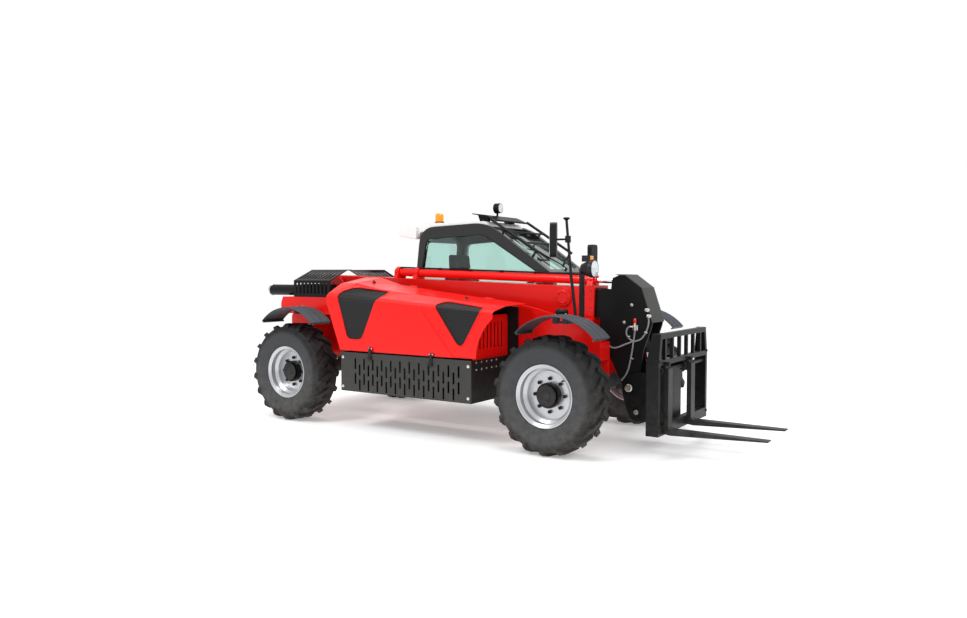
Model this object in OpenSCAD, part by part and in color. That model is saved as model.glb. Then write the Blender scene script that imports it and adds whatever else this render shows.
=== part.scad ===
// Compact telehandler with a side engine, a left-hand cab, a two-stage boom and pallet forks.
// Lengths are in millimetres. +X is forward, +Y is left, +Z is up.
// The origin is on the ground under the middle of the machine's box.

/* [Running gear] */
// Distance between the two axles
wheelbase = 3180; // [3140:10:3240]
// Width over the tyres
overall_w = 2140; // [2110:10:2180]
// Tyre diameter over the lugs
tyre_d = 1050; // [1035:5:1060]
// Tyre section width
tyre_w = 335; // [325:1:345]
// Height of the tyre lugs
lug_h = 32; // [24:1:38]
// Width of one tyre lug
lug_t = 44; // [34:1:50]
// Lugs on each side of a tyre
lug_n = 18; // [14:1:20]
// Slant of the lugs from the wheel's axle
lug_slant = 34; // [25:1:40]
// Bead seat diameter of the rim
rim_d = 508; // [500:1:516]
// Rim width over its flanges
rim_w = 284; // [276:1:292]
// Height of the rim flange
rim_flange = 23; // [18:1:28]
// Rim plate thickness
rim_t = 10; // [7:1:14]
// Depth of the wheel disc inside the outer flange
disc_in = 125; // [110:1:140]
// Depth of the hub's face inside the outer flange
hub_in = 55; // [45:1:70]
// Hub radius
hub_r = 112; // [104:1:118]
// Wheel nuts on one rim
nut_n = 8; // [6:1:10]
// Radius of the wheel nut circle
nut_circle_r = 146; // [140:1:152]
// Distance of the king pin inboard of the wheel's middle plane
kingpin_in = 200; // [190:1:210]
// King pin radius
kingpin_r = 25; // [20:1:30]
// Height of the steering knuckle
knuckle_h = 190; // [170:2:210]
// Radius of the axle tubes
axle_r = 70; // [60:1:75]
// Radius of the differential housing
diff_r = 108; // [95:1:112]
// Spindle radius inside the hub
spindle_r = 45; // [38:1:52]

/* [Chassis] */
// Thickness of the frame plates
rail_t = 25; // [20:1:30]
// Height of the frame's lower edge between the axles
rail_low_z = 430; // [400:5:460]
// Height of the frame's lower edge over the axles
rail_axle_z = 620; // [610:1:640]
// Height of the frame's axle seats above the axles
axle_seat = 95; // [85:1:105]
// Height of the frame's upper edge
rail_top_z = 960; // [930:5:990]
// Front end of the frame ahead of the front axle
frame_over = 210; // [180:5:240]
// Rear end of the frame behind the boom pivot
rear_over = 390; // [360:5:420]
// Half width over the front wing plates
wing_y = 370; // [350:5:390]
// Top of the wing plates' rear end above the mudguards' arms
wing_over = 150; // [130:5:170]
// Half width of the counterweight
weight_y = 440; // [400:5:450]
// Rear deck's sides inside the tyres' outer faces
deck_in = 470; // [440:5:500]
// Length of the rear deck
deck_len = 790; // [750:5:830]
// Length of the rear guards
guard_len = 570; // [540:5:600]
// Top of the rear deck
deck_top_z = 1320; // [1290:5:1340]
// Radius of the fender's outer skin beyond the tyre's
fender_over = 5; // [0:1:15]
// Height of the fender's centre of curvature above the axle
fender_lift = 165; // [155:1:175]
// Fender width
fender_w = 300; // [270:5:320]
// Fender plate thickness
fender_t = 7; // [5:1:10]

/* [Engine side] */
// Skirt's outer face inside the tyres' outer faces
skirt_in = 23; // [15:1:30]
// Front end of the skirt box behind the front axle
skirt_front_gap = 753; // [735:1:770]
// Rear end of the skirt box ahead of the rear axle
skirt_rear_gap = 818; // [800:1:835]
// Lower edge of the skirt
skirt_low_z = 393; // [370:1:410]
// Upper edge of the skirt
skirt_top_z = 788; // [770:1:795]
// Skirt plate thickness
skirt_t = 8; // [6:1:12]
// Columns of slots in the skirt
slot_n = 23; // [19:1:25]
// Spacing of the skirt's slots
slot_pitch = 58; // [54:1:62]
// Width of one slot
slot_w = 22; // [16:1:28]
// Height of one slot
slot_h = 110; // [90:1:120]
// Hood's outer face inside the skirt's
hood_back = 15; // [10:1:20]
// Inboard edge of the hood, right of the middle
hood_in_y = 420; // [405:1:440]
// Hood sheet thickness
hood_t = 6; // [4:1:9]
// Gap between hood and skirt
hood_gap = 14; // [8:1:20]
// Radius of the hood's hinge pins
hinge_r = 10; // [8:1:12]

/* [Boom] */
// Boom pivot behind the rear axle
pivot_back = 160; // [145:5:175]
// Height of the boom pivot
pivot_z = 1416; // [1400:2:1430]
// Nose-down angle of the stowed boom
boom_pitch = 1.9; // [1.5:0.1:2.3]
// Outer boom's end ahead of the front axle
boom_over = 40; // [20:5:60]
// Outer boom width
boom_w = 280; // [270:2:290]
// Outer boom height
boom_h = 300; // [290:2:310]
// Boom plate thickness
boom_wall = 12; // [8:1:14]
// Space between the two boom sections, filled by the wear pads
pad_space = 12; // [8:1:15]
// Boom pivot pin radius
pivot_r = 40; // [34:1:46]
// Travel of the extension
boom_stroke = 2200; // [2000:20:2300]
// Radius of the extension cylinder
ext_r = 45; // [38:1:48]
// Height of the extension cylinder above the boom's top
ext_up = 64; // [58:1:72]
// Radius of the extension cylinder's rod
ext_rod_r = 26; // [20:1:30]

/* [Lift cylinder] */
// Lift cylinder's base pin ahead of the rear axle
lift_base_over = 34; // [28:1:40]
// Radius of the lift cylinder's base eye
lift_eye_r = 58; // [54:1:62]
// Distance of the boom's lift pin from the boom pivot
lift_pin_dist = 1400; // [1380:5:1420]
// Angle of the boom's lift pin below level
lift_pin_dip = 12; // [11.5:0.1:12.5]
// Lift cylinder radius
lift_r = 62; // [54:1:66]
// Lift rod radius
lift_rod_r = 36; // [30:1:42]
// Lift pin radius
lift_pin_r = 30; // [24:1:34]

/* [Head and forks] */
// Tilt pin ahead of the outer boom's end
head_reach = 405; // [395:1:415]
// Tilt pin below the boom's axis
head_drop = 757; // [745:1:765]
// Thickness of the head's side plates
head_t = 20; // [14:1:24]
// Tilt pin radius
tilt_pin_r = 30; // [24:1:34]
// Height of the tilt cylinder's upper pin above the tilt pin
tilt_base_up = 780; // [770:1:790]
// Rod pin ahead of the tilt pin
tilt_eye_x = 130; // [124:1:136]
// Rod pin above the tilt pin
tilt_eye_up = 150; // [144:1:156]
// Tilt cylinder radius
tilt_r = 42; // [36:1:48]
// Tilt rod radius
tilt_rod_r = 24; // [20:1:28]
// Coupler plate thickness
coupler_t = 18; // [14:1:20]
// Fork carriage width
carriage_w = 1260; // [1200:10:1300]
// Fork carriage's front plane ahead of the tilt pin
carriage_x = 455; // [445:1:465]
// Lower edge of the fork carriage
carriage_low_z = 200; // [190:2:220]
// Upper edge of the fork carriage
carriage_top_z = 1070; // [1040:5:1090]
// Size of the carriage's bars
carriage_bar = 45; // [36:1:50]
// Upright bars in the load guard
guard_bars = 6; // [4:1:8]
// Fork tine length ahead of the carriage
tine_len = 870; // [820:10:920]
// Fork tine width
tine_w = 100; // [80:5:120]
// Fork tine thickness at the heel
tine_t = 42; // [34:1:48]
// Right tine, left of the middle
tine_right_y = -460; // [-500:5:-420]
// Left tine, left of the middle
tine_left_y = 110; // [80:5:140]

/* [Cab] */
// Gap between the cab and the frame's rail
cab_gap = 15; // [10:1:25]
// Left wall of the cab inside the tyres' outer faces
cab_side_in = 40; // [35:1:55]
// Thickness of the cab's posts and walls
cab_t = 46; // [38:1:52]
// Cab floor height
cab_low_z = 620; // [615:1:640]
// Rear wall of the cab ahead of the rear axle
cab_rear_gap = 840; // [825:1:855]
// Length of the windscreen along the machine
screen_run = 786; // [770:2:800]
// Height of the cab under its roof
cab_top_z = 2090; // [2070:5:2110]
// Lower edge of the windscreen ahead of the skirt box
screen_over = 123; // [110:1:135]
// Height of the windscreen
screen_h = 490; // [470:5:510]
// Glass thickness
glass_t = 6; // [4:1:8]
// Radius of the door's hinge pins
door_pin_r = 9; // [7:1:10]
// Gap around the door
door_gap = 8; // [6:1:10]
// Front edge of the door behind the skirt box's front
door_back = 417; // [390:1:440]

/* [Hidden] */
$fn = 48;

// Gap of a seated piece, running clearance of a pin in its bore, and overlap of cuts
seat = 0.3;
run = 0.05;
cut = 1;

// Derived sizes
tyre_r = tyre_d / 2;
track = overall_w - tyre_w;
front_x = wheelbase / 2;
rear_x = -wheelbase / 2;
kingpin_y = track / 2 - kingpin_in;
frame_front_x = front_x + frame_over;
pivot_x = pivot_back - rear_x;
frame_rear_x = pivot_x + rear_over;
boom_len = pivot_x + front_x + boom_over;
skirt_front_x = front_x - skirt_front_gap;
skirt_rear_x = -rear_x - skirt_rear_gap;
skirt_y = overall_w / 2 - skirt_in;
hood_y = skirt_y - hood_back;
deck_y = overall_w / 2 - deck_in;
cab_rear_x = -rear_x - cab_rear_gap;
cab_out_y = overall_w / 2 - cab_side_in;
screen_low_z = cab_top_z - screen_h;
screen_low_x = skirt_front_x + screen_over;
cab_brow_x = screen_low_x - screen_run;
door_front_x = skirt_front_x - door_back;

// Heights on the chassis are from a datum that the axle seats set above the ground
axle_z = rail_axle_z - axle_seat;
datum_z = tyre_r - axle_z;
fender_r = tyre_r + fender_over;
fender_z = axle_z + fender_lift;
rim_r = rim_d / 2;
hub_face_z = rim_w / 2 - hub_in;
disc_z = rim_w / 2 - disc_in;
rail_y = boom_w / 2 + 20;
rail_out_y = rail_y + rail_t;
cab_in_y = rail_out_y + cab_gap;
inner_w = boom_w - 2 * (boom_wall + pad_space);
inner_h = boom_h - 2 * (boom_wall + pad_space);
coupler_y = inner_w / 2 + head_t + 36;
inner_wall = 10;
inner_lap = 830;
inner_tail = boom_len - boom_stroke - inner_lap;
skirt_mid_z = (skirt_low_z + skirt_top_z) / 2;
bay_wall_y = hood_in_y - 35;
bay_wall_t = 25;
tow_x = -frame_rear_x - 90;

// Places in the side view, as [x, z]
function turn(p, a) = [p[0] * cos(a) - p[1] * sin(a), p[0] * sin(a) + p[1] * cos(a)];
function on_boom(u, v) = [-pivot_x, pivot_z] + turn([u, v], -boom_pitch);
tilt_pin = on_boom(boom_len + head_reach, -head_drop);
tilt_base = tilt_pin + [0, tilt_base_up];
tilt_eye = tilt_pin + [tilt_eye_x, tilt_eye_up];
tilt_len = norm(tilt_eye - tilt_base);
tilt_angle = atan2(tilt_eye[1] - tilt_base[1], tilt_eye[0] - tilt_base[0]);
lift_base = [rear_x + lift_base_over, axle_z + diff_r + lift_eye_r + 1];
lift_pin = [-pivot_x, pivot_z] + turn([lift_pin_dist, 0], -lift_pin_dip);
lift_len = norm(lift_pin - lift_base);
lift_angle = atan2(lift_pin[1] - lift_base[1], lift_pin[0] - lift_base[0]);
plate_x = tilt_pin[0] + carriage_x;
tine_tip_x = plate_x + tine_len;

// Exhaust tail pipe: its middle line and its end
pipe_y = 100 - deck_y;
pipe_z = 1395;
pipe_r = 62;
pipe_end_x = -frame_rear_x - 260;

// Underside of the arms that carry the mudguards
arm_z = fender_z + fender_r - 80;
weight_top_z = arm_z - 10;
wing_top_z = arm_z + wing_over;

// Middle of the machine's box, which the origin lies under
middle_x = (tine_tip_x + pipe_end_x) / 2;

// Hood: stations along X with the heights of the side's top, the shoulder and the inboard edge
shoulder_y = hood_y - 232;
hood_low_z = skirt_top_z + hood_gap;
hood_rear_low_x = -skirt_rear_x - 28;
hood_nose_x = skirt_front_x + 213;
hood_rows = [[-1000, 1358, 1480, 1541], [-780, 1350, 1486, 1541], [-500, 1335, 1432, 1466],
    [0, 1300, 1376, 1404], [500, 1268, 1328, 1350], [hood_nose_x, 1236, 1282, 1296]];
hood_arch_x = skirt_front_x + 533;
hood_arch_r = 500;
hood_slope = atan2(1466 - 1350, 1000);
hood_hinge_z = 1404 - hood_t / 2;
hood_hinge_y = hood_in_y - 14;

// Cab outline in the side view, from the rear lower corner, anticlockwise,
// and the outline of its side walls, which rise past the roof's edge
belt_z = cab_top_z - 490;
rail_up = 45;
cab_outline = [[-cab_rear_x, cab_low_z], [skirt_front_x + 20, cab_low_z], [skirt_front_x + 60, 1085],
    [screen_low_x + 110, 1300], [screen_low_x, screen_low_z], [cab_brow_x, cab_top_z],
    [60 - cab_rear_x, cab_top_z - 30], [-cab_rear_x - 30, belt_z]];
cab_shell = concat([for (i = [0:4]) cab_outline[i]], rounded_corner([cab_outline[4],
    cab_outline[5] + [22, rail_up],
    cab_outline[6] + [0, rail_up]], 190), rounded_corner([cab_outline[5] + [22, rail_up],
    cab_outline[6] + [-30, rail_up], cab_outline[7] + [0, 0]], 190), [cab_outline[7]]);
hinge_out = 16.5;
roof_top_z = cab_top_z + 62;
door_outline = [[door_gap - cab_rear_x + cab_t, cab_low_z + cab_t], [door_front_x, cab_low_z + cab_t],
    [door_front_x, cab_top_z - 260], [door_front_x - 360, cab_top_z - cab_t], [90 - cab_rear_x,
        cab_top_z - 30 - cab_t],
    [-cab_rear_x + 20, belt_z]];

// Moves each corner of an anticlockwise outline inwards by t
function inset(p, t) = [for (i = [0:len(p) - 1])
    let (a = p[(i + len(p) - 1) % len(p)], b = p[i], c = p[(i + 1) % len(p)],
        u = (b - a) / norm(b - a), v = (c - b) / norm(c - b))
    b + ([-u[1], u[0]] + [-v[1], v[0]]) * t / (1 + u * v)];

// Rounds each corner of an outline over a reach r with n steps
function rounded(p, r, n = 4) = [for (i = [0:len(p) - 1])
    let (a = p[(i + len(p) - 1) % len(p)], b = p[i], c = p[(i + 1) % len(p)],
        s = b + (a - b) * min(r / norm(a - b), 0.45), e = b + (c - b) * min(r / norm(c - b), 0.45))
    for (k = [0:n]) let (t = k / n) (1 - t) * (1 - t) * s + 2 * t * (1 - t) * b + t * t * e];

// One rounded corner: the points between two of the outline's edges over a reach r
function rounded_corner(p, r, n = 6) = let (s = p[1] + (p[0] - p[1]) * min(r / norm(p[0] - p[1]), 0.9),
    e = p[1] + (p[2] - p[1]) * min(r / norm(p[2] - p[1]), 0.9))
    [for (k = [0:n]) let (t = k / n) (1 - t) * (1 - t) * s + 2 * t * (1 - t) * p[1] + t * t * e];

// A smooth line through points
function curve(p, n = 4) = concat([for (i = [0:len(p) - 2], k = [0:n - 1])
    let (a = p[max(i - 1, 0)], b = p[i], c = p[i + 1], d = p[min(i + 2, len(p) - 1)], t = k / n)
    (2 * b + (c - a) * t + (2 * a - 5 * b + 4 * c - d) * t * t + (3 * b - a - 3 * c + d) * t * t * t) / 2],
    [p[len(p) - 1]]);

// Points of an arc about c in the side view
function arc(c, r, a0, a1, n) = [for (i = [0:n]) c + r * [cos(a0 + (a1 - a0) * i / n),
    sin(a0 + (a1 - a0) * i / n)]];

// Moves a piece from the wheelbase's middle to the machine's own origin
module place() {
    translate([-middle_x, 0, datum_z]) children();
}

// Extrudes a side view outline from y0 to y1
module slab_y(y0, y1) {
    translate([0, y1, 0]) rotate([90, 0, 0]) linear_extrude(y1 - y0) children();
}

// Extrudes a front view outline from x0 to x1
module slab_x(x0, x1) {
    translate([x0, 0, 0]) rotate([90, 0, 90]) linear_extrude(x1 - x0) children();
}

// A box given by its lowest and highest corners
module block(a, b) {
    translate(a) cube(b - a);
}

// A round bar along Y at a place in the side view
module bar_y(p, r, y0, y1) {
    translate([p[0], y1, p[1]]) rotate([90, 0, 0]) cylinder(r = r, h = y1 - y0);
}

// A round bar along X
module bar_x(x0, x1, y, z, r) {
    translate([x0, y, z]) rotate([0, 90, 0]) cylinder(r = r, h = x1 - x0);
}

// A round bar between two points
module rod(a, b, r) {
    d = b - a;
    translate(a) rotate([0, acos(d[2] / norm(d)), atan2(d[1], d[0])]) cylinder(r = r, h = norm(d));
}

// Both sides of the machine
module both_sides() {
    children();
    mirror([0, 1, 0]) children();
}

// Coordinates along the stowed boom, from its pivot
module along_boom() {
    translate([-pivot_x, 0, pivot_z]) rotate([0, boom_pitch, 0]) children();
}

// Coordinates along a cylinder: +X from its base pin to its rod pin
module along_line(p, a) {
    translate([p[0], 0, p[1]]) rotate([0, -a, 0]) children();
}

// A solid through equal rings of points
module loft(rings) {
    n = len(rings[0]);
    m = len(rings);
    sides = [for (i = [0:m - 2], j = [0:n - 1]) let (k = (j + 1) % n)
        [i * n + j, i * n + k, (i + 1) * n + k, (i + 1) * n + j]];
    ends = [[for (j = [n - 1:-1:0]) j], [for (j = [0:n - 1]) (m - 1) * n + j]];
    polyhedron([for (r = rings) each r], concat(sides, ends), convexity = 6);
}

// A hose along points in the side view at one y
module hose(path, y, r) {
    n = len(path);
    loft([for (i = [0:n - 1])
        let (d = path[min(i + 1, n - 1)] - path[max(i - 1, 0)], t = d / norm(d), s = [-t[1], t[0]])
        [for (k = [0:7]) let (q = path[i] + s * r * cos(k * 45)) [q[0], y + r * sin(k * 45), q[1]]]]);
}

// Welded main frame: rails, boom tower, cross plates and pins
module frame() {
    rail = [[-frame_rear_x, rail_axle_z], [rear_x + 420, rail_axle_z], [rear_x + 600, rail_low_z],
        [front_x - 680, rail_low_z], [front_x - 450, rail_axle_z], [frame_front_x, rail_axle_z],
        [frame_front_x, rail_top_z - 10], [front_x - 290, rail_top_z + 40], [front_x - 1190, rail_top_z],
        [rear_x + 480, rail_top_z], [rear_x + 300, pivot_z - 190], [135 - pivot_x, pivot_z + 120],
        [-130 - pivot_x, pivot_z + 120], [-frame_rear_x, pivot_z - 160]];
    color("red") place() {
        both_sides() {
            slab_y(rail_y, rail_out_y) polygon(rail);
            bar_y([-pivot_x, pivot_z], pivot_r + 30, rail_out_y - cut, rail_out_y + 14);
            bar_y(lift_base, lift_pin_r + 25, rail_out_y - cut, rail_out_y + 14);
        }
        block([front_x - 140, -rail_y - cut, rail_axle_z + 20], [front_x - 60, rail_y + cut,
            rail_axle_z + 120]);
        block([front_x - 620, -rail_y - cut, rail_low_z + 20], [front_x - 540, rail_y + cut,
            rail_low_z + 150]);
        block([rear_x + 640, -rail_y - cut, rail_low_z], [rear_x + 900, rail_y + cut, rail_low_z + 30]);
        bar_y([-pivot_x, pivot_z], pivot_r, -rail_out_y, rail_out_y);
        bar_y(lift_base, lift_pin_r, -rail_out_y, rail_out_y);
    }
}

// Front wing plates beside the boom, which carry the mudguards, the lamps and the mirror
module front_wings() {
    low_z = rail_axle_z + 160;
    front = [[frame_front_x, low_z], [frame_front_x, rail_top_z + 50], [front_x + 115, wing_top_z - 125],
        [front_x - 256, wing_top_z - 97], [skirt_front_x + 330, wing_top_z - 48]];
    right_x = skirt_front_x + 93;
    left_x = screen_low_x + 135;
    root_y = rail_out_y + seat;
    color("red") place() {
        both_sides() block([frame_front_x - rail_t, root_y, low_z], [frame_front_x, wing_y - cut,
            rail_top_z - 10]);
        slab_y(-wing_y, rail_t - wing_y) polygon(concat([[right_x, low_z]], front, [[right_x, wing_top_z]]));
        slab_y(wing_y - rail_t, wing_y) polygon(concat([[left_x, low_z]], front, [[left_x,
            wing_top_z - 40]]));
        block([right_x, cut - wing_y, low_z], [right_x + rail_t, -root_y, rail_top_z]);
        block([left_x, root_y, low_z], [left_x + rail_t, wing_y - cut, rail_top_z]);
    }
}

// Cross arms on the rails that carry the cab and the engine bay
module side_carriers() {
    arm_w = 80;
    arm_h = 90;
    root_y = rail_out_y + seat;
    color("red") place() for (x = [-skirt_rear_x + 50, skirt_front_x - 120]) {
        block([x, root_y, cab_low_z - arm_h], [x + arm_w, cab_out_y - 40, cab_low_z]);
        block([x, seat - bay_wall_y + bay_wall_t, cab_low_z - arm_h], [x + arm_w, -root_y, cab_low_z]);
    }
}

// Rear counterweight with the deck that carries the guards and the tail lamps
module counterweight() {
    side = rounded([[-frame_rear_x, rail_axle_z + 20], [-pivot_x - 40, rail_axle_z + 20],
        [-pivot_x - 40, weight_top_z], [-frame_rear_x, weight_top_z]], 60);
    deck_x = deck_len - frame_rear_x;
    deck = [[-frame_rear_x, weight_top_z], [deck_x, weight_top_z], [deck_x, deck_top_z - 40],
        [deck_x - 50, deck_top_z], [-frame_rear_x + 30, deck_top_z], [-frame_rear_x, deck_top_z - 60]];
    color("firebrick") place() both_sides() {
        slab_y(rail_out_y + seat, weight_y) polygon(side);
        slab_y(rail_out_y + 20, deck_y) polygon(deck);
    }
}

// Drawbar clevis at the rear with an upright pin bore
module tow_hitch() {
    color("dimgray") place() difference() {
        union() {
            block([-frame_rear_x - 20, -rail_out_y, rail_axle_z], [-frame_rear_x, rail_out_y,
                rail_axle_z + 150]);
            for (z = [rail_axle_z + 25, rail_axle_z + 95]) {
                block([tow_x, -60, z], [-frame_rear_x - 10, 60, z + 30]);
                translate([tow_x, 0, z]) cylinder(r = 60, h = 30);
            }
        }
        translate([tow_x, 0, rail_axle_z]) cylinder(r = 16.5, h = 200);
    }
}

// Slotted skirt box that carries the engine, with the wall that the hood is hinged on
module engine_bay() {
    slot_mid_x = (skirt_front_x - skirt_rear_x) / 2 + 27;
    slot_mid_z = skirt_mid_z - 20;
    wall = [[-1000, skirt_low_z + 100], [skirt_front_x + 90, skirt_low_z + 100],
        [skirt_front_x + 90, hood_hinge_z - (skirt_front_x + 90) * tan(hood_slope) - 35],
        [-1000, hood_hinge_z + 1000 * tan(hood_slope) - 35]];
    color("dimgray") place() {
        difference() {
            union() {
                block([-skirt_rear_x, -skirt_y, skirt_low_z],
                    [skirt_front_x, -bay_wall_y + bay_wall_t, skirt_top_z]);
                slab_y(-bay_wall_y, -bay_wall_y + bay_wall_t) polygon(wall);
            }
            block([skirt_t - skirt_rear_x, skirt_t - skirt_y, skirt_low_z + skirt_t],
                [skirt_front_x - skirt_t, -bay_wall_y, skirt_top_z + cut]);
            for (i = [0:slot_n - 1], k = [-1, 1])
                let (x = slot_mid_x + (i - (slot_n - 1) / 2) * slot_pitch,
                    z = slot_mid_z + k * 75 + (i % 2 == 0 ? 31 : -31))
                block([x - slot_w / 2, -skirt_y - cut, z - slot_h / 2],
                    [x + slot_w / 2, skirt_t - skirt_y + cut, z + slot_h / 2]);
        }
        hood_hinge_at() for (s = [-1, 1]) {
            translate([s * 60 - 10, -10, -60]) cube([20, 40, 60]);
            translate([s * 60 - 10, 0, 0]) rotate([0, 90, 0]) cylinder(r = hinge_r + 3, h = 20);
            translate([-60, 0, 0]) rotate([0, 90, 0]) cylinder(r = hinge_r, h = 120);
        }
    }
}

// The two hinges on the hood's inboard edge: +X lies along the hinge line
module hood_hinge_at() {
    for (x = [-330, 620])
        translate([x, -hood_hinge_y, hood_hinge_z - x * tan(hood_slope)]) rotate([0, hood_slope,
            0]) children();
}

// Engine: one plain block with its sump, rocker cover and fan ring
module engine() {
    bay_w = skirt_y - bay_wall_y;
    out_y = -bay_wall_y - bay_w * 0.75;
    in_y = -bay_wall_y - bay_w * 0.14;
    sump_z = skirt_low_z + 150;
    head_z = skirt_top_z + 222;
    color("gray") place() {
        block([-420, out_y, sump_z], [430, in_y, head_z]);
        block([-330, out_y + 50, skirt_low_z + skirt_t], [340, in_y - 50, sump_z + cut]);
        block([-360, out_y + 90, head_z - cut], [370, in_y - 90, head_z + 110]);
        bar_x(-500, -420 + cut, (out_y + in_y) / 2, head_z - 150, 190);
    }
}

// Slotted plate that closes the engine bay towards the front wheel
module vent_panel() {
    top_z = skirt_top_z + 402;
    slots = 8;
    pitch = (skirt_y - bay_wall_y - 166) / slots;
    color("red") place() difference() {
        slab_x(skirt_front_x - 30, skirt_front_x - 22) polygon(rounded([[-skirt_y + 60, skirt_low_z + 60],
            [-bay_wall_y - seat, skirt_low_z + 60], [-bay_wall_y - seat, top_z], [-skirt_y + 130, top_z],
            [-skirt_y + 60, top_z - 70]], 30));
        for (i = [0:slots - 1]) let (y = -skirt_y + 110 + i * pitch)
            block([skirt_front_x - 40, y, top_z - 310], [skirt_front_x - 10, y + 22, top_z - 70]);
    }
}

// Steered axle: beam, differential and the forked ends that hold the king pins
module axle(x) {
    fork_y = kingpin_y - 96;
    ear_z = knuckle_h / 2 + 0.5;
    ear_t = 30;
    color("dimgray") place() translate([x, 0, axle_z]) difference() {
        union() {
            bar_y([0, 0], axle_r, -fork_y, fork_y);
            translate([0, 0, -30]) rotate([0, 90, 0]) cylinder(r = diff_r - 6, h = 2 * diff_r - 20,
                center = true);
            bar_y([0, 0], diff_r, -95, 95);
            both_sides() {
                block([-60, rail_y - 10, 0], [60, rail_out_y + 10, axle_seat]);
                slab_x(-58, 58) polygon([[fork_y - 30, -ear_z - ear_t], [fork_y, -ear_z - ear_t],
                    [fork_y, ear_z + ear_t], [fork_y - 30, ear_z + ear_t]]);
                for (z = [-ear_z - ear_t, ear_z]) {
                    block([-58, fork_y - cut, z], [58, kingpin_y, z + ear_t]);
                    translate([0, kingpin_y, z]) cylinder(r = 58, h = ear_t);
                }
            }
        }
        both_sides() translate([0, kingpin_y, -300]) cylinder(r = kingpin_r + run, h = 600);
    }
}

// Steering knuckle with its king pins, spindle and steering arm, for the left side
module knuckle() {
    ear_t = 30;
    spindle_end = track / 2 + disc_z + 20;
    color("gray") difference() {
        union() {
            translate([0, kingpin_y, -knuckle_h / 2]) cylinder(r = 56, h = knuckle_h);
            translate([0, kingpin_y, -knuckle_h / 2 - ear_t]) cylinder(r = kingpin_r,
                h = knuckle_h + 2 * ear_t);
            bar_y([0, 0], 80, kingpin_y, kingpin_y + 82);
            bar_y([0, 0], spindle_r, kingpin_y, spindle_end);
            block([-175, kingpin_y - 22, -30], [0, kingpin_y + 22, 0]);
        }
        translate([-150, kingpin_y, -40]) cylinder(r = 12, h = 50);
    }
}

// Places a left-hand part of the running gear at one wheel
module at_corner(x, side) {
    place() translate([x, 0, axle_z]) mirror([0, side < 0 ? 1 : 0, 0]) children();
}

// Turns a wheel's own axis, +Z outwards, to the left side
module on_spindle() {
    translate([0, track / 2, 0]) rotate([-90, 0, 0]) children();
}

// Rim with its flanges, disc, planetary hub and nuts
module rim() {
    half = rim_w / 2;
    well = 30;
    barrel = [[rim_r + rim_flange, half], [rim_r + rim_flange - 8, half], [rim_r - rim_t, half - 16],
        [rim_r - rim_t, 76], [rim_r - well - rim_t, 52], [rim_r - well - rim_t, -52], [rim_r - rim_t, -76],
        [rim_r - rim_t, 16 - half], [rim_r + rim_flange - 8, -half], [rim_r + rim_flange, -half],
        [rim_r + rim_flange, 12 - half], [rim_r, 12 - half], [rim_r, -66], [rim_r - well, -44],
        [rim_r - well, 44], [rim_r, 66], [rim_r, half - 12], [rim_r + rim_flange, half - 12]];
    color("silver") on_spindle() difference() {
        union() {
            rotate_extrude() polygon(barrel);
            translate([0, 0, disc_z - 14]) cylinder(r = rim_r - well - rim_t / 2, h = 14);
            translate([0, 0, disc_z - 106]) cylinder(r = hub_r, h = hub_face_z - disc_z + 88);
            translate([0, 0, hub_face_z - 20]) cylinder(r = hub_r - 30, h = 20);
            for (i = [0:nut_n - 1]) rotate([0, 0, i * 360 / nut_n])
                translate([nut_circle_r, 0, disc_z - cut]) cylinder(r = 17, h = 24, $fn = 6);
        }
        translate([0, 0, -rim_w]) cylinder(r = spindle_r + run, h = rim_w + disc_z + 26);
    }
}

// Tyre carcass with chevron lugs
module tyre() {
    half = tyre_w / 2;
    crown = tyre_r - lug_h;
    bead = rim_w / 2 - 12 - seat;
    wall = [[rim_r + rim_flange + 2, bead], [rim_r + rim_flange + 8, half - 22],
        [rim_r + 70, half - 7], [rim_r + 120, half], [crown - 70, half - 2], [crown - 30, half - 14],
        [crown - 8, half - 34], [crown, half - 70]];
    section = concat([[rim_r + seat, -bead], [rim_r + seat, bead]], wall,
        [for (i = [len(wall) - 1:-1:0]) [wall[i][0], -wall[i][1]]]);
    long = (half - lug_t / 2 * sin(lug_slant)) / cos(lug_slant);
    flat_end = long * 0.62;
    reach = flat_end * sin(lug_slant) + lug_t / 2 * cos(lug_slant);
    top = sqrt(tyre_r * tyre_r - reach * reach);
    lug = [[crown - 26, -14], [top, -14], [top, flat_end], [top - 14, long * 0.9],
        [crown - 12, long], [crown - 62, long], [crown - 70, long * 0.92], [crown - 30, flat_end]];
    color("black") on_spindle() {
        rotate_extrude() polygon(section);
        rotate([0, 0, 90 - asin(reach / tyre_r)]) for (side = [0, 1], i = [0:lug_n - 1])
            rotate([0, 0, (i + side / 2) * 360 / lug_n]) mirror([0, 0, side]) rotate([-lug_slant, 0, 0])
                translate([0, lug_t / 2, 0]) rotate([90, 0, 0]) linear_extrude(lug_t) polygon(lug);
    }
}

// Ribbed mudguards over the four wheels with the arms that carry them
module fenders() {
    color("slategray") place() both_sides() {
        fender(front_x + 85, 41, 135, wing_y);
        fender(rear_x + 10, 45, 135, deck_y);
    }
}

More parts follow.
